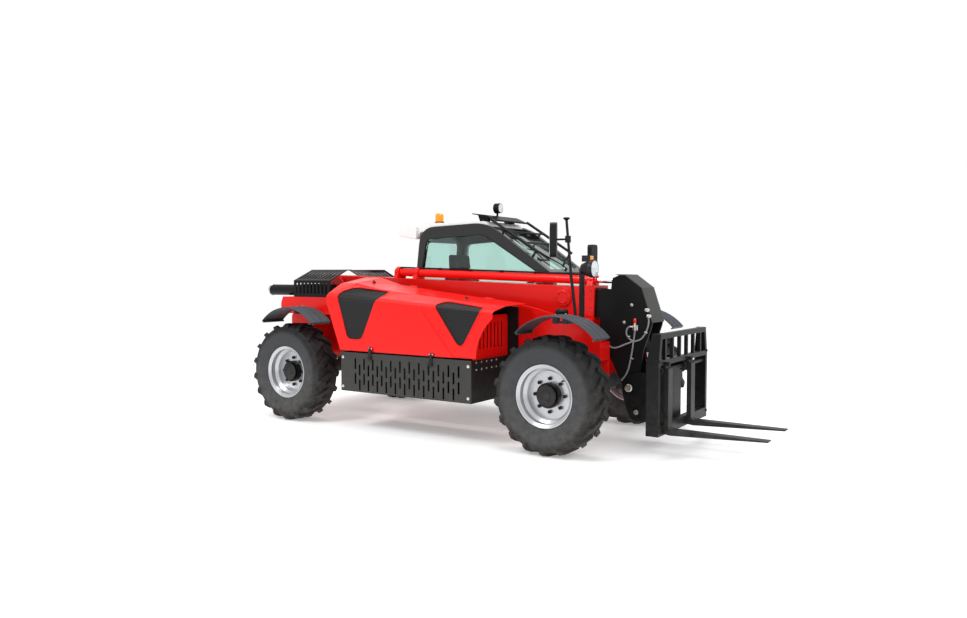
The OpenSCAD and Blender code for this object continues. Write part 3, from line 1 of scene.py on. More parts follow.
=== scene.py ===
"""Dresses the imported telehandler: finishes for its nodes, small pieces, camera and studio."""

from __future__ import annotations

import logging
import math
from dataclasses import dataclass, replace
from enum import Enum
from typing import Iterable, Sequence

import bmesh
import bpy
from mathutils import Matrix, Vector

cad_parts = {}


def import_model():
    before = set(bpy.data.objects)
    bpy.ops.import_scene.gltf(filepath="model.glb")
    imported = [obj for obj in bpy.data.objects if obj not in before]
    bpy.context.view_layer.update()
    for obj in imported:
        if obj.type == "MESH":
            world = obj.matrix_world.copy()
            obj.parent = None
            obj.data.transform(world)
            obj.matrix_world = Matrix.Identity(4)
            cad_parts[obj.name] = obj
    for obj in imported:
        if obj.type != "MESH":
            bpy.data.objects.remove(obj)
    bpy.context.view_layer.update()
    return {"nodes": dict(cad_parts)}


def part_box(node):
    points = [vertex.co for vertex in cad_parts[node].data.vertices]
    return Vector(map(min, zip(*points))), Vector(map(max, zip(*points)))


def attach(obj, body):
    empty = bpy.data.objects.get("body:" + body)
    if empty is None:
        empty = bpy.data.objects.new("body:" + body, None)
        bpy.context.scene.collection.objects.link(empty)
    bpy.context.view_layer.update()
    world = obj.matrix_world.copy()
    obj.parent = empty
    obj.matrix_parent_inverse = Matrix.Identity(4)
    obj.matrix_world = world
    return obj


LOG = logging.getLogger("telehandler")
SMOOTH_ANGLE = 0.6
COAT_ROUGHNESS = 0.06
BUMP_DEPTH = 0.002
CLOUD_TO_GLOSS = 0.6
DUST_TO_GLOSS = 0.35

Point = Sequence[float]
Flat = tuple[float, float]
Place = tuple[float, float, float]
Colour = tuple[float, float, float]
Outline = Sequence[Flat]
Flats = tuple[Flat, ...]
Socket = bpy.types.NodeSocket
Node = bpy.types.Node
NodeTree = bpy.types.NodeTree
Material = bpy.types.Material
Object = bpy.types.Object


class Body(str, Enum):
    """Names of the CAD bodies that pieces ride on."""

    CHASSIS = "chassis"
    DOOR = "door"
    HOOD = "hood"
    BOOM = "boom"
    INNER = "inner_boom"
    CARRIAGE = "carriage"


class Corner(Enum):
    """The four wheels, each with the signs of its X and Y place."""

    FRONT_LEFT = (1, 1)
    FRONT_RIGHT = (1, -1)
    REAR_LEFT = (-1, 1)
    REAR_RIGHT = (-1, -1)

    @property
    def label(self) -> str:
        """The corner's name in node and body names."""
        return self.name.lower()


@dataclass
class Layout:
    """Places of the machine, in metres from the wheelbase's middle, and the shift to the row frame."""

    shift: float = 0.0
    axle_x: float = 1.59
    axle_z: float = 0.525
    wheel_y: float = 0.9025
    disc_proud: float = 0.0175

    def measure(self) -> None:
        """Finds the wheelbase's middle from the two axle nodes."""
        front_lo, front_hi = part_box("front_axle")
        rear_lo, rear_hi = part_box("rear_axle")
        front = (front_lo.x + front_hi.x) / 2
        rear = (rear_lo.x + rear_hi.x) / 2
        self.shift = (front + rear) / 2
        self.axle_x = (front - rear) / 2

    def at(self, x: float, y: float, z: float) -> Vector:
        """A point of the row frame from a point measured from the wheelbase's middle."""
        return Vector((x + self.shift, y, z))


class Wiring:
    """Adds nodes to one node tree and links them."""

    def __init__(self, tree: NodeTree) -> None:
        """Keeps the tree.

        Args:
            tree: the material's or the group's node tree.
        """
        self.tree = tree

    def add(self, kind: str, values: dict | None = None, **settings: object) -> Node:
        """Adds one node.

        Args:
            kind: the node's type name.
            values: input names or numbers with a value, or with a socket to link from.
            settings: properties of the node.

        Returns:
            The new node.
        """
        node = self.tree.nodes.new(kind)
        for key, value in settings.items():
            setattr(node, key, value)
        self.feed(node, values or {})
        return node

    def feed(self, node: Node, values: dict) -> None:
        """Fills inputs of a node.

        Args:
            node: the node.
            values: input names or numbers with a value, or with a socket to link from.
        """
        for key, value in values.items():
            if isinstance(value, Socket):
                self.tree.links.new(value, node.inputs[key])
            else:
                node.inputs[key].default_value = value

    def spot(self) -> Socket:
        """Object coordinates, which are the row frame's own."""
        return self.add("ShaderNodeTexCoord").outputs["Object"]

    def axis(self, letter: str) -> Socket:
        """One of the object coordinates."""
        return self.add("ShaderNodeSeparateXYZ", {0: self.spot()}).outputs[letter]

    def noise(self, scale: object, detail: float = 2.0, roughness: float = 0.5) -> Socket:
        """A cloudy noise on the object coordinates.

        Args:
            scale: its scale, as a number or a socket.
            detail: its octaves.
            roughness: how strongly the fine octaves show.

        Returns:
            The noise's value.
        """
        values = {"Vector": self.spot(), "Scale": scale, "Detail": detail, "Roughness": roughness}
        return self.add("ShaderNodeTexNoise", values).outputs[0]

    def product(self, first: object, second: object) -> Socket:
        """A colour or vector multiplied by another or by a number."""
        return self.add("ShaderNodeVectorMath", {0: first, 1: second}, operation="MULTIPLY").outputs[0]

    def math(self, operation: str, first: object, second: object = 0.0, clamp: bool = False) -> Socket:
        """A math node's result.

        Args:
            operation: the operation's name.
            first: the first value or socket.
            second: the second value or socket.
            clamp: keeps the result between 0 and 1.

        Returns:
            The result's socket.
        """
        node = self.add("ShaderNodeMath", {0: first, 1: second}, operation=operation, use_clamp=clamp)
        return node.outputs[0]

    def mix(self, factor: object, first: object, second: object) -> Socket:
        """A mix of two colours.

        Args:
            factor: the share of the second colour.
            first: the first colour, as a socket or three numbers.
            second: the second colour, as a socket or three numbers.

        Returns:
            The mixed colour's socket.
        """
        both = [c if isinstance(c, Socket) else (*c, 1.0) for c in (first, second)]
        node = self.add("ShaderNodeMix", {"Factor": factor, 6: both[0], 7: both[1]}, data_type="RGBA")
        return node.outputs[2]

    def ramp(self, value: object, low: float, high: float) -> Socket:
        """A value taken from a range to 0 and 1.

        Args:
            value: the value's socket.
            low: what becomes 0.
            high: what becomes 1.

        Returns:
            The clamped result's socket.
        """
        node = self.add("ShaderNodeMapRange", {"Value": value, "From Min": low, "From Max": high})
        return node.outputs["Result"]


class Effects:
    """Shader node groups that more than one finish uses, each built once."""

    def __init__(self) -> None:
        """Starts with no group built."""
        self.built: dict[str, NodeTree] = {}

    def group(self, name: str, inputs: dict[str, float], outputs: dict[str, str]) -> tuple[Wiring, Node, Node]:
        """Makes an empty group with its sockets.

        Args:
            name: the group's name.
            inputs: names and defaults of its number inputs.
            outputs: names and kinds of its outputs.

        Returns:
            The group's wiring, its input node and its output node.
        """
        tree = bpy.data.node_groups.new(name, "ShaderNodeTree")
        for label, value in inputs.items():
            socket = tree.interface.new_socket(label, in_out="INPUT", socket_type="NodeSocketFloat")
            socket.default_value = value
        for label, kind in outputs.items():
            tree.interface.new_socket(label, in_out="OUTPUT", socket_type=kind)
        self.built[name] = tree
        wires = Wiring(tree)
        return wires, wires.add("NodeGroupInput"), wires.add("NodeGroupOutput")

    def place(self, wires: Wiring, name: str, values: dict) -> Node:
        """Places a group in a material.

        Args:
            wires: the material's wiring.
            name: one of mottle, dust, edges and grain.
            values: the group's inputs.

        Returns:
            The group's node.
        """
        if name not in self.built:
            makers = {"mottle": self.make_mottle, "dust": self.make_dust, "edges": self.make_edges,
                      "grain": self.make_grain}
            makers[name]()
        return wires.add("ShaderNodeGroup", values, node_tree=self.built[name])

    def make_mottle(self) -> None:
        """Soft cloudy variation of a coat of paint or a moulding."""
        wires, start, end = self.group("mottle", {"Scale": 3.0, "Amount": 0.1}, {"Value": "NodeSocketFloat"})
        centred = wires.math("SUBTRACT", wires.noise(start.outputs["Scale"], 5.0), 0.5)
        wires.feed(end, {"Value": wires.math("MULTIPLY", centred, start.outputs["Amount"])})

    def make_dust(self) -> None:
        """A thin film of dust that thins out with height."""
        wires, start, end = self.group("dust", {"Top": 0.6, "Amount": 0.2}, {"Mask": "NodeSocketFloat"})
        height = wires.math("DIVIDE", wires.axis("Z"), start.outputs["Top"])
        share = wires.math("SUBTRACT", 1.0, height, clamp=True)
        patchy = wires.math("MULTIPLY", share, wires.ramp(wires.noise(14.0, 8.0, 0.65), 0.3, 0.75))
        wires.feed(end, {"Mask": wires.math("MULTIPLY", patchy, start.outputs["Amount"], True)})

    def make_edges(self) -> None:
        """Softened edges: a rounded normal and a mask of the edges."""
        wires, start, end = self.group("edges", {"Radius": 0.003, "Amount": 1.0},
                                       {"Mask": "NodeSocketFloat", "Normal": "NodeSocketVector"})
        bevel = wires.add("ShaderNodeBevel", {"Radius": start.outputs["Radius"]}, samples=6)
        plain = wires.add("ShaderNodeNewGeometry").outputs["Normal"]
        dot = wires.add("ShaderNodeVectorMath", {0: bevel.outputs[0], 1: plain}, operation="DOT_PRODUCT")
        bend = wires.ramp(wires.math("SUBTRACT", 1.0, dot.outputs["Value"]), 0.02, 0.25)
        broken = wires.math("MULTIPLY", bend, wires.ramp(wires.noise(60.0, 6.0), 0.42, 0.62))
        wires.feed(end, {"Mask": wires.math("MULTIPLY", broken, start.outputs["Amount"], True),
                         "Normal": bevel.outputs[0]})

    def make_grain(self) -> None:
        """Fine grain of a moulding, a casting or a powder coat, as a height."""
        wires, start, end = self.group("grain", {"Scale": 400.0, "Coarse": 0.3}, {"Height": "NodeSocketFloat"})
        fine = wires.noise(start.outputs["Scale"], 3.0)
        wide = wires.noise(wires.math("MULTIPLY", start.outputs["Scale"], 0.12))
        coarse = wires.math("MULTIPLY", wide, start.outputs["Coarse"])
        wires.feed(end, {"Height": wires.math("ADD", fine, coarse)})


def new_material(name: str) -> tuple[Material, Wiring, Node]:
    """Starts a material with nodes.

    Args:
        name: its name.

    Returns:
        The material, its wiring and its shader node.
    """
    material = bpy.data.materials.new(name)
    material.use_nodes = True
    return material, Wiring(material.node_tree), material.node_tree.nodes["Principled BSDF"]


def add_to_scene(name: str, data: bpy.types.ID) -> Object:
    """Puts an object with its data in the scene.

    Args:
        name: the object's name.
        data: its mesh, camera or light.

    Returns:
        The object.
    """
    piece = bpy.data.objects.new(name, data)
    bpy.context.scene.collection.objects.link(piece)
    return piece


@dataclass(frozen=True)
class Finish:
    """An opaque finish: colour, gloss, grain, soft edges, wear and dust."""

    name: str
    colour: Colour
    roughness: float = 0.4
    metallic: float = 0.0
    coat: float = 0.0
    specular: float = 0.2
    mottle_scale: float = 3.0
    mottle: float = 0.1
    grain_scale: float = 500.0
    grain: float = 0.06
    edge_radius: float = 0.003
    wear: float = 0.0
    wear_colour: Colour = (0.35, 0.34, 0.33)
    dust: float = 0.12
    dust_top: float = 0.9
    dust_colour: Colour = (0.42, 0.38, 0.33)

    def colour_socket(self, wires: Wiring) -> Socket:
        """The bare colour before wear and dust.

        Args:
            wires: the material's wiring.

        Returns:
            The colour's socket.
        """
        plain = wires.add("ShaderNodeRGB").outputs[0]
        plain.default_value = (*self.colour, 1.0)
        return plain

    def height_socket(self, wires: Wiring, effects: Effects) -> Socket:
        """The height that the bump is made from."""
        return effects.place(wires, "grain", {"Scale": self.grain_scale, "Coarse": 0.4}).outputs["Height"]

    def build(self, effects: Effects) -> Material:
        """Makes the material.

        Args:
            effects: the shared node groups.

        Returns:
            The material.
        """
        material, wires, shader = new_material(self.name)
        cloud = effects.place(wires, "mottle", {"Scale": self.mottle_scale, "Amount": self.mottle}).outputs["Value"]
        varied = wires.product(self.colour_socket(wires), wires.math("ADD", 1.0, cloud))
        edges = effects.place(wires, "edges", {"Radius": self.edge_radius, "Amount": self.wear})
        worn = wires.mix(edges.outputs["Mask"], varied, self.wear_colour)
        dust = effects.place(wires, "dust", {"Top": self.dust_top, "Amount": self.dust}).outputs["Mask"]
        rough = wires.math("ADD", self.roughness, wires.math("MULTIPLY", cloud, CLOUD_TO_GLOSS))
        bump = wires.add("ShaderNodeBump", {"Strength": self.grain, "Distance": BUMP_DEPTH,
                                            "Height": self.height_socket(wires, effects),
                                            "Normal": edges.outputs["Normal"]})
        wires.feed(shader, {
            "Base Color": wires.mix(dust, worn, self.dust_colour),
            "Roughness": wires.math("ADD", rough, wires.math("MULTIPLY", dust, DUST_TO_GLOSS), True),
            "Normal": bump.outputs[0],
            "Metallic": self.metallic,
            "Coat Weight": self.coat,
            "Coat Roughness": COAT_ROUGHNESS,
            "Specular IOR Level": self.specular})
        return material


@dataclass(frozen=True)
class WheelFinish(Finish):
    """A finish with parts told apart by their distance from one wheel's axle."""

    centre: Point = (0.0, 0.0, 0.0)

    def radius_socket(self, wires: Wiring) -> Socket:
        """Distance from the wheel's axle.

        Args:
            wires: the material's wiring.

        Returns:
            The distance's socket.
        """
        moved = wires.add("ShaderNodeMapping", {"Vector": wires.spot(), "Location": [-c for c in self.centre]})
        flat = wires.product(moved.outputs[0], (1.0, 0.0, 1.0))
        return wires.add("ShaderNodeVectorMath", {0: flat}, operation="LENGTH").outputs["Value"]


@dataclass(frozen=True)
class TyreFinish(WheelFinish):
    """Rubber with moulded rings on its side wall and a greyer tread."""

    tread_colour: Colour = (0.010, 0.010, 0.011)
    shoulder: Flat = (0.405, 0.450)
    rings: tuple[float, ...] = (0.298, 0.306, 0.418, 0.428)
    ring_slope: float = 420.0
    ring_height: float = 3.0

    def colour_socket(self, wires: Wiring) -> Socket:
        """Side wall colour that turns to the tread's colour at the lugs."""
        share = wires.ramp(self.radius_socket(wires), *self.shoulder)
        return wires.mix(share, self.colour, self.tread_colour)

    def height_socket(self, wires: Wiring, effects: Effects) -> Socket:
        """Grain with a few raised rings near the bead and the shoulder.

        Args:
            wires: the material's wiring.
            effects: the shared node groups.

        Returns:
            The height's socket.
        """
        total = effects.place(wires, "grain", {"Scale": self.grain_scale, "Coarse": 0.5}).outputs["Height"]
        radius = self.radius_socket(wires)
        for ring in self.rings:
            gap = wires.math("ABSOLUTE", wires.math("SUBTRACT", radius, ring))
            bead = wires.math("SUBTRACT", 1.0, wires.math("MULTIPLY", gap, self.ring_slope), True)
            total = wires.math("ADD", total, wires.math("MULTIPLY", bead, self.ring_height))
        return total


@dataclass(frozen=True)
class RimFinish(WheelFinish):
    """Silver rim whose hub and nuts get a near-black colour that paints the shade over them."""

    # painted shade: this near-black colour on the hub and nuts stands in for the shade over them
    hub_shade_colour: Colour = (0.012, 0.012, 0.013)
    hub_radius: float = 0.166
    disc_y: float = 0.0
    outward: float = 1.0

    def hub_shade_mask(self, wires: Wiring) -> Socket:
        """Where the hub and the nuts stand proud of the disc and get the painted shade.

        Args:
            wires: the material's wiring.

        Returns:
            The mask's socket.
        """
        inside = wires.math("LESS_THAN", self.radius_socket(wires), self.hub_radius)
        outer = wires.math("MULTIPLY", wires.axis("Y"), self.outward)
        proud = wires.math("GREATER_THAN", outer, self.disc_y)
        return wires.math("MULTIPLY", inside, proud)

    def colour_socket(self, wires: Wiring) -> Socket:
        """Silver with painted shade on the hub and nuts."""
        # the hub and nuts get the painted shade colour instead of the silver
        return wires.mix(self.hub_shade_mask(wires), self.colour, self.hub_shade_colour)


@dataclass(frozen=True)
class MeshFinish(Finish):
    """Black sheet with rows of small round holes, darkened as painted shade of the space behind them."""

    pitch: float = 0.016
    row_share: float = 0.87
    hole_square: float = 0.11
    # painted shade: the holes' near-black colour stands for the dark space behind the sheet
    hole_shade_colour: Colour = (0.003, 0.003, 0.003)
    hole_height: float = -3.0

    def holes(self, wires: Wiring) -> Socket:
        """Mask of the holes, in staggered rows on the side view.

        Args:
            wires: the material's wiring.

        Returns:
            The mask's socket.
        """
        row = wires.math("DIVIDE", wires.axis("Z"), self.pitch * self.row_share)
        odd = wires.math("MULTIPLY", wires.math("MODULO", wires.math("FLOOR", row), 2.0), 0.5)
        column = wires.math("ADD", wires.math("DIVIDE", wires.axis("X"), self.pitch), odd)
        across, up = (wires.math("SUBTRACT", wires.math("FRACT", v), 0.5) for v in (column, row))
        square = wires.math("ADD", wires.math("MULTIPLY", across, across), wires.math("MULTIPLY", up, up))
        return wires.math("LESS_THAN", square, self.hole_square)

    def colour_socket(self, wires: Wiring) -> Socket:
        """Dark sheet with painted shade in its holes."""
        # the holes get the painted shade colour
        return wires.mix(self.holes(wires), self.colour, self.hole_shade_colour)

    def height_socket(self, wires: Wiring, effects: Effects) -> Socket:
        """Holes sunk into the sheet."""
        return wires.math("MULTIPLY", self.holes(wires), self.hole_height)


@dataclass(frozen=True)
class SkirtFinish(Finish):
    """Painted outer panel whose frame and inner faces are black."""

    panel_y: float = -1.04
    inner_colour: Colour = (0.006, 0.006, 0.0065)

    def colour_socket(self, wires: Wiring) -> Socket:
        """The panel's colour on its outer face only."""
        outer = wires.math("LESS_THAN", wires.axis("Y"), self.panel_y)
        return wires.mix(outer, self.inner_colour, self.colour)


@dataclass(frozen=True)
class BraidFinish(Finish):
    """Woven sleeve of a hydraulic hose."""

    slant: float = 0.78
    strands: float = 160.0

    def height_socket(self, wires: Wiring, effects: Effects) -> Socket:
        """Two crossing sets of strands.

        Args:
            wires: the material's wiring.
            effects: the shared node groups; not used.

        Returns:
            The height's socket.
        """
        sets = []
        for slant in (self.slant, -self.slant):
            turned = wires.add("ShaderNodeMapping", {"Vector": wires.spot(), "Rotation": (0.0, slant, 0.0)})
            wave = wires.add("ShaderNodeTexWave", {"Vector": turned.outputs[0], "Scale": self.strands})
            sets.append(wave.outputs["Fac"])
        return wires.math("MAXIMUM", *sets)


@dataclass(frozen=True)
class Glazing:
    """Clear tinted glass that lets light through to what is behind it."""

    name: str
    colour: Colour
    roughness: float = 0.01
    ior: float = 1.45

    def build(self, effects: Effects) -> Material:
        """Makes the material.

        Args:
            effects: the shared node groups.

        Returns:
            The material.
        """
        material, wires, shader = new_material(self.name)
        cloud = effects.place(wires, "mottle", {"Scale": 2.0, "Amount": 0.04}).outputs["Value"]
        tint = wires.add("ShaderNodeRGB").outputs[0]
        tint.default_value = (*self.colour, 1.0)
        varied = wires.product(tint, wires.math("ADD", 1.0, cloud))
        smear = wires.math("ADD", self.roughness, wires.math("MULTIPLY", cloud, 0.3), True)
        wires.feed(shader, {"Base Color": varied, "Roughness": smear, "Transmission Weight": 1.0, "IOR": self.ior})
        clear = wires.add("ShaderNodeBsdfTransparent", {"Color": varied})
        shadow = wires.add("ShaderNodeLightPath").outputs["Is Shadow Ray"]
        both = wires.add("ShaderNodeMixShader", {0: shadow, 1: shader.outputs[0], 2: clear.outputs[0]})
        wires.feed(wires.tree.nodes["Material Output"], {"Surface": both.outputs[0]})
        return material


RED = (0.72, 0.006, 0.004)
BLACK = (0.006, 0.006, 0.0065)

FINISHES: dict[str, Finish | Glazing] = {
    "red_paint": Finish("red enamel", RED, 0.26, coat=0.12, mottle=0.08, grain_scale=260.0, grain=0.03,
                        edge_radius=0.006, dust=0.05),
    "black_paint": Finish("satin black coat", BLACK, 0.36, specular=0.13, mottle=0.25, grain=0.05, edge_radius=0.004,
                          wear=0.12, wear_colour=(0.10, 0.10, 0.10), dust=0.06),
    "grey_paint": Finish("dark grey powder coat", (0.052, 0.052, 0.050), 0.5, mottle=0.16, grain_scale=700.0,
                         grain=0.16, wear=0.15, dust=0.08),
    "cab_paint": Finish("gloss black cab coat", BLACK, 0.16, coat=0.4, specular=0.4, mottle=0.1, grain_scale=260.0,
                        grain=0.02, edge_radius=0.012, dust=0.03),
    "skirt_paint": SkirtFinish("skirt coat", (0.034, 0.034, 0.033), 0.5, mottle=0.16, grain_scale=700.0, grain=0.16,
                               wear=0.15, dust=0.08),
    "axle_paint": Finish("painted casting", (0.009, 0.009, 0.010), 0.5, mottle=0.3, grain_scale=240.0, grain=0.3,
                         edge_radius=0.006, dust=0.2),
    "rod_chrome": Finish("hard chrome", (0.78, 0.78, 0.80), 0.12, 1.0, mottle=0.05, grain_scale=900.0, grain=0.01,
                         dust=0.0),
    "fork_steel": Finish("forged fork steel", (0.010, 0.010, 0.011), 0.42, mottle=0.35, grain_scale=160.0, grain=0.12,
                         wear=0.45, wear_colour=(0.22, 0.21, 0.20), dust=0.1),
    "fender_plastic": Finish("fender moulding", (0.050, 0.056, 0.068), 0.46, mottle=0.15, grain_scale=850.0,
                             grain=0.12, edge_radius=0.005, dust=0.1, dust_top=1.3),
    "roof_plastic": Finish("roof shell", (0.80, 0.80, 0.79), 0.3, coat=0.3, mottle=0.05, edge_radius=0.012, dust=0.0),
    "cab_trim": Finish("black trim moulding", (0.007, 0.007, 0.0075), 0.5, mottle=0.2, grain_scale=900.0, grain=0.14,
                       edge_radius=0.008, dust=0.0),
    "seat_cloth": Finish("seat cloth", (0.020, 0.021, 0.023), 0.8, mottle=0.25, grain_scale=1400.0, grain=0.35,
                         edge_radius=0.02, dust=0.0),
    "beacon_amber": Finish("amber lens", (0.90, 0.28, 0.008), 0.12, coat=0.8, mottle=0.1, grain_scale=200.0,
                           edge_radius=0.004, dust=0.0),
    "lamp_plastic": Finish("lamp housing", (0.018, 0.018, 0.019), 0.32, mottle=0.1, edge_radius=0.006, dust=0.0),
    "hose_rubber": BraidFinish("braided hose", (0.24, 0.245, 0.26), 0.45, mottle=0.1, grain=0.4, edge_radius=0.001,
                               dust=0.0),
    "perforated": MeshFinish("perforated sheet", (0.016, 0.016, 0.017), 0.55, mottle=0.3, grain=0.5, dust=0.0),
    "zinc": Finish("zinc plated steel", (0.66, 0.65, 0.60), 0.28, 1.0, mottle=0.2, grain_scale=300.0,
                   edge_radius=0.001, dust=0.05),
    "rubber": Finish("black rubber", (0.013, 0.013, 0.013), 0.6, mottle=0.2, grain_scale=600.0, grain=0.1, dust=0.05),
    "silver_mirror": Finish("mirror silver", (0.86, 0.88, 0.90), 0.03, 1.0, mottle=0.02, grain=0.0, dust=0.0),
    "red_lens": Finish("red lens", (0.62, 0.008, 0.006), 0.14, coat=0.8, mottle=0.1, grain_scale=300.0, dust=0.0),
    "clear_lens": Glazing("clear lens", (0.95, 0.97, 0.98), 0.03),
    "glass": Glazing("tinted glass", (0.72, 0.91, 0.86), 0.012),
}

TYRE = TyreFinish("tyre rubber", (0.036, 0.038, 0.042), 0.62, mottle=0.25, grain_scale=420.0, grain=0.12,
                  edge_radius=0.006, dust=0.18, dust_top=1.0)
RIM = RimFinish("rim enamel", (0.50, 0.51, 0.53), 0.30, 0.75, mottle=0.1, grain_scale=500.0, grain=0.03, dust=0.04)

NODE_FINISH: dict[str, tuple[str, ...]] = {
    "red_paint": ("frame", "counterweight", "vent_panel", "hood", "boom_outer", "extend_barrel", "front_wings",
                  "side_carriers"),
    "cab_paint": ("cab_frame", "cab_door"),
    "black_paint": ("rear_guard", "exhaust", "boom_inner", "coupler", "fork_carriage",
                    "roof_guard", "fuel_tank"),
    "skirt_paint": ("engine_bay",),
    "grey_paint": ("head_shield", "tow_hitch"),
    "axle_paint": ("front_axle", "rear_axle", "engine", "lift_barrel", "tilt_barrel", "knuckle_front_left",
                   "knuckle_front_right", "knuckle_rear_left", "knuckle_rear_right"),
    "rod_chrome": ("extend_rod", "lift_rod", "tilt_rod"),
    "fork_steel": ("fork_tines",),
    "glass": ("cab_glass", "door_glass"),
    "fender_plastic": ("fenders",),
    "roof_plastic": ("cab_roof",),
    "cab_trim": ("cab_interior", "mirrors"),
    "beacon_amber": ("beacon",),
    "lamp_plastic": ("lamps",),
    "hose_rubber": ("head_hoses",),
    "perforated": ("hood_mesh",),
}


class Paintshop:
    """Builds each finish once and gives it to nodes and pieces."""

    def __init__(self) -> None:
        """Starts with the shared effects and no material made."""
        self.effects = Effects()
        self.made: dict[str, Material] = {}

    def material(self, key: str) -> Material:
        """The material of a named finish.

        Args:
            key: the finish's key.

        Returns:
            The material, made at its first use.
        """
        if key not in self.made:
            self.made[key] = FINISHES[key].build(self.effects)
        return self.made[key]

    def dress(self, node: Object, material: Material) -> None:
        """Gives a CAD node one material."""
        node.data.materials.clear()
        node.data.materials.append(material)

    def paint_nodes(self, nodes: dict[str, Object], layout: Layout) -> None:
        """Gives every CAD node its finish.

        Args:
            nodes: the frame's nodes.
            layout: places of the machine.
        """
        for key, names in NODE_FINISH.items():
            for name in names:
                self.dress(nodes[name], self.material(key))
        for corner in Corner:
            end, side = corner.value
            centre = layout.at(end * layout.axle_x, side * layout.wheel_y, layout.axle_z)
            tyre = replace(TYRE, name=f"{TYRE.name} {corner.label}", centre=tuple(centre))
            rim = replace(RIM, name=f"{RIM.name} {corner.label}", centre=tuple(centre), outward=float(side),
                          disc_y=layout.wheel_y + layout.disc_proud)
            self.dress(nodes[f"tyre_{corner.label}"], tyre.build(self.effects))
            self.dress(nodes[f"rim_{corner.label}"], rim.build(self.effects))


